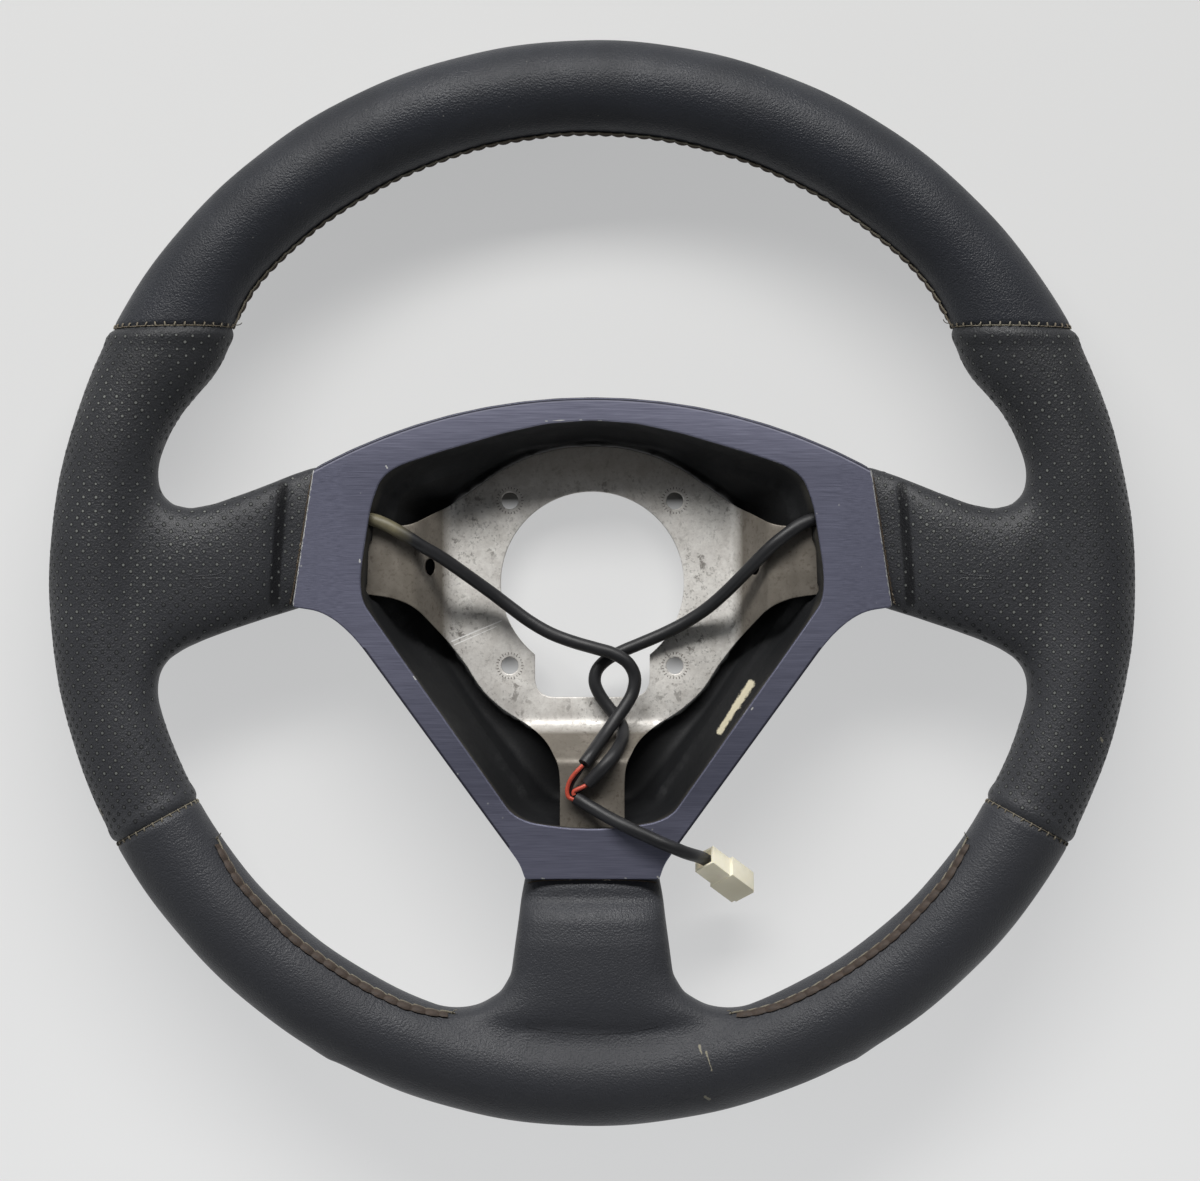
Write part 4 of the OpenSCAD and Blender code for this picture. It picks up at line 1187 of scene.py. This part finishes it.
def make_trim():
    """The anodised plate round the opening, its wings and foot bent back."""
    corner, bevel = 1.4, 0.45
    outline = both_sides(trim_arc(87.5, 8) + [
        (*WING_UP, corner), (*WING_DOWN, corner), (88, -9), (82.6, -11.9), (77.1, -16.8), (73.2, -21.6),
        (27.4, -84.5), (23.2, -90.4), (21.6, TRIM_FOOT_Y, corner)])
    trim = flat_sheet("trim_plate", [rounded(outline, 40), trim_opening()], TRIM_T, bevel)
    wing_soft, foot_soft = 2.0, 1.5
    folds = [s * (WING_FOLD + d) for s in (-1, 1) for d in (-2, -1, 0, 1, 2)]
    slice_sheet(trim, folds, [FOOT_FOLD + d for d in (-foot_soft, 0, foot_soft)])
    slice_sheet(trim, range(-70, 71, 10), range(-70, 60, 10))
    p = get_points(trim.data)

    def bend(distance, soft):
        """Fall of the sheet past a fold, eased over soft millimetres."""
        d = np.clip((distance + soft) / (2 * soft), 0, 1)
        return math.tan(WING_BEND) * np.where(distance > soft, distance, d * d * soft)

    # 1 on the sheet's rounded sides, 0 on its faces
    edge = np.clip(1 - (p[:, 2] - (TRIM_T - 0.9)) / 0.85, 0, 1) * (p[:, 2] > 0.5) * (p[:, 2] < TRIM_T - 0.01)
    p[:, 2] += TRIM_Z - bend(np.abs(p[:, 0]) - WING_FOLD, wing_soft) - bend(FOOT_FOLD - p[:, 1], foot_soft)
    set_points(trim.data, p)
    mark = trim.data.attributes.new("edge", "FLOAT", "POINT")
    mark.data.foreach_set("value", np.clip(edge * 1.5, 0, 1))
    shade(trim, MATS["trim"], 12)
    seat(trim, "trim_frame", slot="trim")


HUB_HALF = [
    (0, 44.9), (9, 44.5), (19.8, 41.9), (30.3, 36.7), (41.1, 29.1), (47.5, 24.8), (50.5, 23.2), (58, 18.9),
    (64, 18.3), (154, 18.3, 2), (154, 0.3, 2), (86, 0.3), (76, -3.3), (64, -4.9), (57, -7.9), (47.5, -18.8),
    (41.1, -27.2), (35.9, -35.7), (28.3, -42.2), (19.8, -47.2), (14.6, -51.7), (10.8, -59), (10.4, -65),
    (11, -154, 2)]
# Half the angle of the hole's mouth, and the slot's corner with its radius
HUB_MOUTH, SLOT_X, SLOT_Y, SLOT_R = math.radians(38.8), 18.8, -37.3, 7
CLIP_HOLE = (52.75, 5.3, 1.55, 2.7)
# Height of the sheet's lower and upper face by distance from the middle: the riser between plate and arm
RISER_LOW = [(0, 0), (47.5, 0), (49, 0.9), (58.5, ARM_RISE - 0.9), (60, ARM_RISE), (160, ARM_RISE)]
RISER_HIGH = [
    (0, SHEET_T), (44.9, SHEET_T), (46.9, SHEET_T + 1.2), (56.3, ARM_RISE + 3), (58, ARM_RISE + SHEET_T),
    (160, ARM_RISE + SHEET_T)]


def make_hub():
    """Hub plate with its holes and three arms, cut flat and bent up at the risers."""
    turns = np.linspace(HUB_MOUTH - math.pi / 2, 1.5 * math.pi - HUB_MOUTH, 90)
    hole = [(HUB_R * math.cos(a), HUB_R * math.sin(a), 0) for a in turns]
    hole = rounded(hole + [(-SLOT_X, SLOT_Y, SLOT_R), (SLOT_X, SLOT_Y, SLOT_R)], SLOT_R)
    small = []
    for sx in (-1, 1):
        for sy in (-1, 1):
            small.append(oval(sx * BOLT_SQUARE / 2, sy * BOLT_SQUARE / 2, BOLT_R, BOLT_R, 36))
        x, y, wide, high = CLIP_HOLE
        small.append(oval(sx * x, y, wide, high, 28))
    hub = flat_sheet("hub_sheet", [rounded(both_sides(HUB_HALF), 30), hole] + small, SHEET_T, 0.35)
    bends = np.arange(43, 62.5, 1.0)
    slice_sheet(hub, [s * d for s in (-1, 1) for d in bends], [-d for d in bends])
    low, high = eased(RISER_LOW, 0.7), eased(RISER_HIGH, 0.9)
    p = get_points(hub.data)
    # Distance along the lower arm or a side one
    d = np.where((p[:, 1] < -43) & (np.abs(p[:, 0]) < 25), -p[:, 1], np.abs(p[:, 0]))
    p[:, 2] = low(d) + p[:, 2] / SHEET_T * (high(d) - low(d))
    set_points(hub.data, p)
    shade(hub, MATS["hub"], 35)
    seat(hub, "hub_frame", slot="hub_metal")


# Repeated details

class Fields(Nodes):
    """Geometry nodes: the same helpers, with tests, random numbers and named attributes."""

    def random(self, low, high, seed=None):
        node = self.add("FunctionNodeRandomValue", {2: low, 3: high}, data_type="FLOAT")
        if seed is not None:
            self.put(node.inputs["Seed"], seed)
        return node.outputs[1]

    def turned_to(self, vector, axis):
        return self.add("FunctionNodeAlignRotationToVector", {"Vector": vector}, axis=axis).outputs[0]

    def choose(self, test, no, yes, kind="FLOAT"):
        node = self.add("GeometryNodeSwitch", input_type=kind)
        self.put(node.inputs["Switch"], test)
        self.put(node.inputs["False"], no)
        self.put(node.inputs["True"], yes)
        return node.outputs[0]

    def compare(self, operation, a, b):
        node = self.add("FunctionNodeCompare", data_type="FLOAT", operation=operation)
        self.put(node.inputs["A"], a)
        self.put(node.inputs["B"], b)
        return node.outputs[0]

    def both(self, a, b, operation="AND"):
        node = self.add("FunctionNodeBooleanMath", operation=operation)
        self.put(node.inputs[0], a)
        self.put(node.inputs[1], b)
        return node.outputs[0]

    def store(self, geometry, name, value, kind="FLOAT_VECTOR", domain="POINT"):
        node = self.add("GeometryNodeStoreNamedAttribute", {"Geometry": geometry, "Name": name},
                        data_type=kind, domain=domain)
        self.put(node.inputs["Value"], value)
        return node.outputs[0]

    def named(self, name, kind="FLOAT_VECTOR"):
        node = self.add("GeometryNodeInputNamedAttribute", {"Name": name}, data_type=kind)
        return node.outputs["Attribute"]

    def placed(self, geometry, label, value):
        """The geometry with its Position or Offset set."""
        return self.add("GeometryNodeSetPosition", {"Geometry": geometry, label: value}).outputs[0]


SOCKETS = {float: "NodeSocketFloat", int: "NodeSocketInt", bpy.types.Material: "NodeSocketMaterial"}


def geometry_group(name, inputs):
    group = bpy.data.node_groups.new(name, "GeometryNodeTree")
    group.interface.new_socket("Geometry", in_out="INPUT", socket_type="NodeSocketGeometry")
    for label, default in inputs:
        kind = "NodeSocketMaterial" if default is None else SOCKETS[type(default)]
        socket = group.interface.new_socket(label, in_out="INPUT", socket_type=kind)
        if default is not None:
            socket.default_value = default
    group.interface.new_socket("Geometry", in_out="OUTPUT", socket_type="NodeSocketGeometry")
    return group, group.nodes.new("NodeGroupInput"), group.nodes.new("NodeGroupOutput"), Fields(group)


def ending(f, geometry, mat, out):
    """Realize Instances and Set Material close each tree."""
    real = f.add("GeometryNodeRealizeInstances", {"Geometry": geometry}).outputs[0]
    done = f.add("GeometryNodeSetMaterial", {"Geometry": real, "Material": mat}).outputs[0]
    f.put(out.inputs["Geometry"], done)


def grown(obj, group, name, **values):
    """The plain mesh that a tree makes of obj, as a new object; obj stays."""
    modifier = obj.modifiers.new("grown", "NODES")
    modifier.node_group = group
    for item in group.interface.items_tree:
        label = item.name.replace(" ", "_")
        if item.in_out == "INPUT" and label in values:
            modifier[item.identifier] = values[label]
    graph = bpy.context.evaluated_depsgraph_get()
    mesh = bpy.data.meshes.new_from_object(obj.evaluated_get(graph), depsgraph=graph)
    obj.modifiers.remove(modifier)
    mesh.shade_smooth()
    return new_object(name, mesh)


def make_perforation_tree():
    """Holes on a lattice of staggered rows, laid over a grip from the front and round the rim's outside."""
    group, given, out, f = geometry_group("perforations", [
        ("Side", 1.0), ("Column Pitch", 0.00425), ("Row Pitch", 0.00215), ("Hole Radius", 0.0007),
        ("Wrap Radius", 0.0155), ("Material", None), ("Seed", 3)])
    g = given.outputs
    columns, rows = 30, 79
    middle = (0.1455, -0.0006)
    # How far from the rim's middle its rays start, how far a ray runs, and how uneven the lattice is
    off, ray_length, jitter = 0.04, 0.06, 0.00013
    # The lattice is flat over the spoke, and follows the rim's section above and below it
    spoke_low, spoke_high = -0.044, 0.046
    from_seam = 2.6 * MM
    # Slope and place of the line at the trim beyond which the leather is perforated
    trim_lean, trim_edge = 0.156, 0.0972
    grid = f.add("GeometryNodeMeshGrid", {
        "Size X": f.times(g["Column Pitch"], columns - 1.0), "Size Y": f.times(g["Row Pitch"], rows - 1.0),
        "Vertices X": columns, "Vertices Y": rows})
    place = f.split(f.add("GeometryNodeInputPosition").outputs[0])
    row = f.maths("ROUND", f.maths("DIVIDE", place[1], g["Row Pitch"]))
    odd = f.times(f.maths("PINGPONG", row, 1.0), f.times(g["Column Pitch"], 0.5))
    shake = f.add("FunctionNodeRandomValue", data_type="FLOAT_VECTOR")
    f.put(shake.inputs["Min"], (-jitter, -jitter, 0))
    f.put(shake.inputs["Max"], (jitter, jitter, 0))
    f.put(shake.inputs["Seed"], g["Seed"])
    x = f.plus(place[0], middle[0], odd)
    y = f.plus(place[1], middle[1])
    crown = f.maths("SQRT", f.maths("SUBTRACT", (RIM_R * MM) ** 2, f.times(y, y)))
    past = f.maths("SUBTRACT", x, crown)
    turn = f.maths("DIVIDE", past, g["Wrap Radius"])
    beyond = f.times(f.maths("SINE", turn), off)
    above = f.times(f.maths("COSINE", turn), off)
    round_start = f.xyz(f.times(f.plus(crown, beyond), g["Side"]), y, f.plus(above, RIM_Z * MM))
    round_way = f.xyz(f.times(beyond, -1.0, g["Side"]), 0.0, f.times(above, -1.0))
    flat_start = f.xyz(f.times(x, g["Side"]), y, ray_length)
    level = f.both(f.compare("LESS_THAN", y, spoke_high), f.compare("GREATER_THAN", y, spoke_low))
    flat = f.both(f.compare("LESS_THAN", past, 0.0), level)
    start = f.vector("ADD", f.choose(flat, round_start, flat_start, "VECTOR"), shake.outputs[0])
    points = f.store(grid.outputs["Mesh"], "way", f.choose(flat, round_way, (0, 0, -1), "VECTOR"))
    points = f.placed(points, "Position", start)
    ray = f.add("GeometryNodeRaycast", {
        "Target Geometry": g["Geometry"], "Ray Direction": f.named("way"), "Ray Length": ray_length}).outputs
    front = f.compare("GREATER_THAN", f.split(ray["Hit Normal"])[2], -0.6)
    points = f.store(points, "hit", f.both(ray["Is Hit"], front), "BOOLEAN")
    points = f.store(points, "face", ray["Hit Normal"])
    points = f.placed(points, "Position", ray["Hit Position"])
    at = f.split(f.add("GeometryNodeInputPosition").outputs[0])
    ax = f.maths("ABSOLUTE", at[0])
    upper = f.compare("LESS_THAN", at[1], UPPER_SEAM_Y * MM - from_seam)
    a = math.radians(LOWER_SEAM_ANGLE)
    drop = f.plus(f.times(ax, math.sin(a)), f.times(at[1], math.cos(a)))
    lower = f.compare("GREATER_THAN", drop, from_seam)
    clear = f.compare("GREATER_THAN", f.plus(ax, f.times(at[1], trim_lean)), trim_edge)
    kept = f.both(f.both(f.named("hit", "BOOLEAN"), clear), f.both(upper, lower))
    missed = f.add("FunctionNodeBooleanMath", {0: kept}, operation="NOT").outputs[0]
    points = f.add("GeometryNodeDeleteGeometry", {"Geometry": points, "Selection": missed},
                   domain="POINT").outputs[0]
    # A disc just above the leather, with core 1 at its middle and 0 at its edge, where the hole's painted
    # shade is
    dish = f.add("GeometryNodeMeshCircle", {"Vertices": 8, "Radius": 1.0},
                 fill_type="TRIANGLE_FAN").outputs[0]
    reach = f.vector("LENGTH", f.add("GeometryNodeInputPosition").outputs[0])
    dish = f.store(dish, "core", f.maths("SUBTRACT", 1.0, reach), "FLOAT")
    dish = f.placed(dish, "Offset", f.xyz(0.0, 0.0, f.plus(f.times(reach, -0.02), 0.11)))
    size = f.random(f.times(g["Hole Radius"], 0.85), f.times(g["Hole Radius"], 1.1))
    holes = f.add("GeometryNodeInstanceOnPoints", {
        "Points": points, "Instance": dish, "Rotation": f.turned_to(f.named("face"), "Z"),
        "Scale": f.xyz(size, size, g["Hole Radius"])}).outputs[0]
    ending(f, holes, g["Material"], out)
    return group


def make_stitch_tree():
    """Stitches along a line whose points carry the direction that the leather faces."""
    group, given, out, f = geometry_group("stitches", [
        ("Pitch", 0.0044), ("Stitch Length", 0.0046), ("Thread Radius", 0.00035), ("Slant", 0.1),
        ("Arch", 0.0003), ("Jitter", 0.12), ("Material", None), ("Seed", 5)])
    g = given.outputs
    line = f.add("GeometryNodeMeshToCurve", {0: g["Geometry"]}).outputs[0]
    line = f.add("GeometryNodeResampleCurve", {"Curve": line, "Length": g["Pitch"]}, mode="LENGTH").outputs[0]
    line = f.store(line, "run", f.add("GeometryNodeInputTangent").outputs[0])
    points = f.add("GeometryNodeCurveToPoints", {"Curve": line}, mode="EVALUATED").outputs[0]
    half = f.times(g["Stitch Length"], 0.5)
    arc = f.add("GeometryNodeCurvePrimitiveBezierSegment", {
        "Resolution": 6, "Start": f.xyz(f.times(half, -1.0), 0.0, 0.0),
        "Start Handle": f.xyz(f.times(half, -0.7), 0.0, g["Arch"]),
        "End Handle": f.xyz(f.times(half, 0.7), 0.0, g["Arch"]), "End": f.xyz(half, 0.0, 0.0)}).outputs[0]
    ring = f.add("GeometryNodeCurvePrimitiveCircle", {"Resolution": 6, "Radius": g["Thread Radius"]})
    stitch = f.add("GeometryNodeCurveToMesh", {
        "Curve": arc, "Profile Curve": ring.outputs[0], "Fill Caps": True}).outputs[0]
    upright = f.add("FunctionNodeAlignRotationToVector", {
        "Rotation": f.turned_to(f.named("run"), "X"), "Vector": f.named("face")},
        axis="Z", pivot_axis="X").outputs[0]
    wobble = f.random(f.times(g["Jitter"], -1.0), g["Jitter"], g["Seed"])
    slant = f.xyz(0.0, 0.0, f.plus(g["Slant"], wobble))
    turned = f.add("FunctionNodeRotateRotation", {"Rotation": upright, "Rotate By": slant},
                   rotation_space="LOCAL")
    placed = f.add("GeometryNodeInstanceOnPoints", {
        "Points": points, "Instance": stitch, "Rotation": turned.outputs[0]}).outputs[0]
    ending(f, placed, g["Material"], out)
    return group


def make_punch_tree():
    """Ring of radial notches that a serrated screw head leaves round each point."""
    group, given, out, f = geometry_group("punch_marks", [
        ("Ring Radius", 0.0041), ("Notch Length", 0.0009), ("Notch Width", 0.00022), ("Count", 26),
        ("Material", None), ("Seed", 7)])
    g = given.outputs
    ring = f.add("GeometryNodeMeshCircle", {"Vertices": g["Count"], "Radius": g["Ring Radius"]}).outputs[0]
    ring = f.add("GeometryNodeMeshToPoints", {0: ring}).outputs[0]
    size = f.xyz(g["Notch Length"], g["Notch Width"], 0.00006)
    notch = f.add("GeometryNodeMeshCube", {"Size": size}).outputs[0]
    outward = f.turned_to(f.add("GeometryNodeInputPosition").outputs[0], "X")
    share = f.random(0.45, 1.15, g["Seed"])
    notches = f.add("GeometryNodeInstanceOnPoints", {
        "Points": ring, "Instance": notch, "Rotation": outward, "Scale": f.xyz(share, 1.0, 1.0)}).outputs[0]
    marks = f.add("GeometryNodeInstanceOnPoints", {"Points": g["Geometry"], "Instance": notches}).outputs[0]
    ending(f, marks, g["Material"], out)
    return group


def on_leather(points, lift=0.0):
    """The points dropped onto the relief of the leather, with its normals."""
    p = drop_onto(np.array(points, float))
    n = leather_normals(p)
    return p + n * (leather_relief(p) + lift)[:, None], n


def stitch_sizes(pitch, length, radius, slant, arch, jitter=0.12):
    """Inputs of the stitch tree, from millimetres and radians."""
    return {"Pitch": pitch * MM, "Stitch_Length": length * MM, "Thread_Radius": radius * MM,
            "Slant": slant, "Arch": arch * MM, "Jitter": jitter}


CROSS_STITCH = stitch_sizes(3.1, 1.15, 0.3, math.pi / 2, 0.35, 0.5)
RAW_EDGE = stitch_sizes(1.0, 1.3, 0.16, 0.05, 0.02)


def sew(tree, name, points, lift, sizes, mat="thread"):
    """A row of stitches along the points, lifted off the leather; its line carries the way that it faces."""
    at, facing = on_leather(points, lift)
    links = [(i, i + 1) for i in range(len(at) - 1)]
    line = new_object(name + "_line", mesh_from(name + "_line", at, [], links))
    attribute = line.data.attributes.new("face", "FLOAT_VECTOR", "POINT")
    attribute.data.foreach_set("vector", facing.ravel())
    row = grown(line, tree, name, Material=MATS[mat], **sizes)
    bpy.data.objects.remove(line)
    seat(row, slot="leather")


def rim_point(angle, section):
    """Point of the rim at an angle round the wheel and an angle round the section, 180 on its inner side."""
    t, u = math.radians(angle), math.radians(section)
    inner = float(inner_edge(angle))
    r = (RIM_OUT + inner) / 2 + (RIM_OUT - inner) / 2 * math.cos(u)
    return (r * math.cos(t), r * math.sin(t), RIM_Z + RIM_HALF * math.sin(u))


def seam_lip(name, angles, section, width, pitch, side):
    """Gathered edge of the leather beside a running seam, pinched at every stitch."""
    rings, count, fading = [], 8, 6
    arc = np.radians(angles) * RIM_IN
    path, facing = on_leather([rim_point(a, s) for a, s in zip(angles, section)])
    tangent = np.gradient(path, axis=0)
    tangent /= np.linalg.norm(tangent, axis=1)[:, None]
    across = np.cross(facing, tangent) * side
    for i, p in enumerate(path):
        fade = min(1.0, i / fading, (len(path) - 1 - i) / fading)
        full = abs(math.sin(math.pi * arc[i] / pitch)) ** 0.6
        high = (0.25 + 0.75 * full) * (0.3 + 0.7 * fade)
        half = width * (0.86 + 0.14 * full) / 2
        ring = []
        for u in 2 * math.pi * np.arange(count) / count:
            rise = high * math.sin(u) * (1 if math.sin(u) > 0 else 0.4)
            ring.append(p + across[i] * half * (1 + math.cos(u)) + facing[i] * (0.1 + rise))
        rings.append(ring)
    lip = new_object(name, mesh_from(name, *lofted(rings)))
    with opened(lip.data) as bm:
        bmesh.ops.recalc_face_normals(bm, faces=bm.faces)
    shade(lip, MATS["seam_edge"], 80)
    seat(lip, slot="leather")


def cross_seam(tree, where, line, shift):
    """Small stitches across a seam between two pieces, with the raw edge of the leather beside them."""
    sew(tree, where.format("cross_stitches"), [(x, y + shift, z) for x, y, z in line], 0.15, CROSS_STITCH)
    sew(tree, where.format("raw_edge"), line, 0.12, RAW_EDGE)


def upper_seam_point(section):
    """Where the upper seam's plane cuts the rim on the right, at an angle round the section."""
    y, t = UPPER_SEAM_Y + 0.2, 31.0
    for _ in range(6):
        p = rim_point(t, section)
        t = math.degrees(math.asin(min(1, y / math.hypot(p[0], p[1]))))
    p = rim_point(t, section)
    return p[0], y, p[2]


def lower_seam_point(section):
    """Where the lower seam's plane cuts the rim on the right, at an angle round the section."""
    a = math.radians(-LOWER_SEAM_ANGLE)
    x, y, z = rim_point(-LOWER_SEAM_ANGLE, section)
    r = math.hypot(x, y)
    return r * math.cos(a), r * math.sin(a), z


def make_seams():
    tree = make_stitch_tree()
    # Running seam on the inside of the top piece, and its gathered edge
    angles = np.arange(36.5, 143.6, 0.15)
    wave = 172 + 2.0 * np.sin(np.radians(angles) * 7)
    seam_lip("upper_seam_lip", angles, wave, 2.4, 4.1, 1)
    sew(tree, "upper_seam_thread", [rim_point(a, s - 1.5) for a, s in zip(angles, wave)], 0.25,
        stitch_sizes(4.1, 4.4, 0.32, 0.12, 0.35))
    # Running seams of the bottom piece
    for name, sign in (("right", 1), ("left", -1)):
        angles = np.arange(-35.0, -71.5, -0.15)
        turned = angles if sign > 0 else 180 - angles
        wave = np.interp(angles, [-71.5, -66, -50, -40, -35], [158, 148, 145, 148, 158])
        seam_lip(f"lower_seam_lip_{name}", turned, wave, 3.4, 4.4, sign)
        sew(tree, f"lower_seam_thread_{name}", [rim_point(t, s - 1) for t, s in zip(turned, wave)], 0.2,
            stitch_sizes(4.4, 4.7, 0.34, 0.14 * sign, 0.3))
    for name, sign in (("right", 1), ("left", -1)):
        upper = [upper_seam_point(u) for u in np.linspace(-75, 215, 150)]
        cross_seam(tree, "upper_{}_" + name, [(sign * x, y, z) for x, y, z in upper], 0.5)
        lower = [lower_seam_point(u) for u in np.linspace(-60, 215, 140)]
        cross_seam(tree, "lower_{}_" + name, [(sign * x, y, z) for x, y, z in lower], -0.5)


def make_frayed_ends():
    """Raw brown ends of the leather where it meets the trim."""
    tree = bpy.data.node_groups["stitches"]
    shares = np.linspace(0, 1, 60)
    for name, sign in (("right", 1), ("left", -1)):
        line = [(sign * (WING_UP[0] + 0.4 + 6.7 * u), WING_UP[1] - 0.6 - 42.8 * u, LAND_Z) for u in shares]
        sew(tree, f"frayed_end_{name}", line, 0.02, stitch_sizes(0.8, 1.25, 0.3, 0.1, 0.1, 0.45), "frayed")
    line = [(x, TRIM_FOOT_Y - 0.4, LAND_Z) for x in np.linspace(-21.4, 21.4, 60)]
    sew(tree, "frayed_end_foot", line, 0.0, stitch_sizes(0.8, 1.25, 0.22, 0.05, 0.05, 0.3), "frayed")


HORN_AT = (131.5, 2.3)
HORN_SIGN = [
    [(-15, -3.1), (-14.8, 0.6), (-15.9, 2.1)],
    [(-15, -3.1), (-13.9, -1.5), (-11.6, -0.5), (-8.6, -0.1), (-4, 0.2)],
    [(-15.9, 2.1), (-14.4, 1.5), (-12.9, 0.7), (-10, 0.8), (-4, 1.0)],
    [(-13.3, 0.9), (-12, 2.9), (-9.8, 3.8), (-7, 3.4), (-5.6, 1.8)],
    [(-4, -0.6), (-2.9, -0.3), (-2.7, 0.7), (-3, 1.8), (-4.1, 1.9), (-4.5, 0.7), (-4, -0.6)],
]


def make_horn_signs():
    """Small embossed bugle on each grip over its horn foil."""
    for side, sign in (("right", 1), ("left", -1)):
        for i, stroke in enumerate(HORN_SIGN):
            flat = through([(sign * (HORN_AT[0] + x), HORN_AT[1] - y, PAD_Z) for x, y in stroke], 6)
            at, _ = on_leather(flat, -0.14)
            ridge = curve_object(f"horn_sign_{side}_{i}", at, 0.26, MATS["grip"], 2)
            seat(ridge, slot="leather_grip")


# Angle round the wheel, angle round the section, and the way that the end points
THREAD_ENDS = [
    (144.2, 176, (3.4, 1.4, 2.2)), (36.0, 176, (-2.8, 2.4, 1.8)), (-34.2, 158, (-1.6, 3.2, 2.4)),
    (214.2, 158, (2.2, 2.8, 2.0)), (-72.0, 156, (-3.2, 1.2, 1.6)), (252.0, 156, (3.0, 1.6, 1.4))]


def make_thread_ends():
    """Loose ends of thread at the ends of the seams."""
    for i, (angle, section, way) in enumerate(THREAD_ENDS):
        at, facing = on_leather([rim_point(angle, section)], 0.1)
        start, up, way = at[0], facing[0], np.array(way)
        steps = ((-0.5, 0), (0.5, 0.15), (0.7, 0.35), (0.4, 0.6))
        line = through([start + rise * up + far * way for rise, far in steps], 5)
        end = curve_object(f"thread_end_{i}", line, 0.15, MATS["thread"], 2)
        seat(end, slot="leather")


def make_perforations(pieces):
    tree = make_perforation_tree()
    for name, sign in (("left", -1.0), ("right", 1.0)):
        holes = grown(pieces[name], tree, f"perforations_{name}", Side=sign, Material=MATS["hole"])
        seat(holes, slot="leather_grip")


def make_punch_marks():
    """Serrated rings that the screw heads left round the bolt holes."""
    tree = make_punch_tree()
    half = BOLT_SQUARE / 2
    middles = [(x * half, y * half, SHEET_T + 0.01) for x in (-1, 1) for y in (-1, 1)]
    spots = new_object("bolt_spots", mesh_from("bolt_spots", middles, []))
    marks = grown(spots, tree, "punch_marks", Material=MATS["scored"])
    bpy.data.objects.remove(spots)
    seat(marks, slot="hub_metal")


def dress_kept_nodes():
    """Materials for the solids that stay as they are."""
    for node, key in (("rim_hoop", "hoop"), ("horn_switch_left", "foil"), ("horn_switch_right", "foil"),
                      ("connector_terminals", "brass")):
        slots = frame["nodes"][node].data.materials
        slots.clear()
        slots.append(MATS[key])


# The scene

make_camera()
make_light()
GRAIN, SPECKS = make_grain_group(), make_speck_group()
MATS = make_materials()
make_table_top()
dress_kept_nodes()
make_leads()
LEATHER = make_leather_pieces()
make_perforations(LEATHER)
make_seams()
make_frayed_ends()
make_horn_signs()
make_thread_ends()
make_foam()
make_trim()
make_hub()
make_punch_marks()
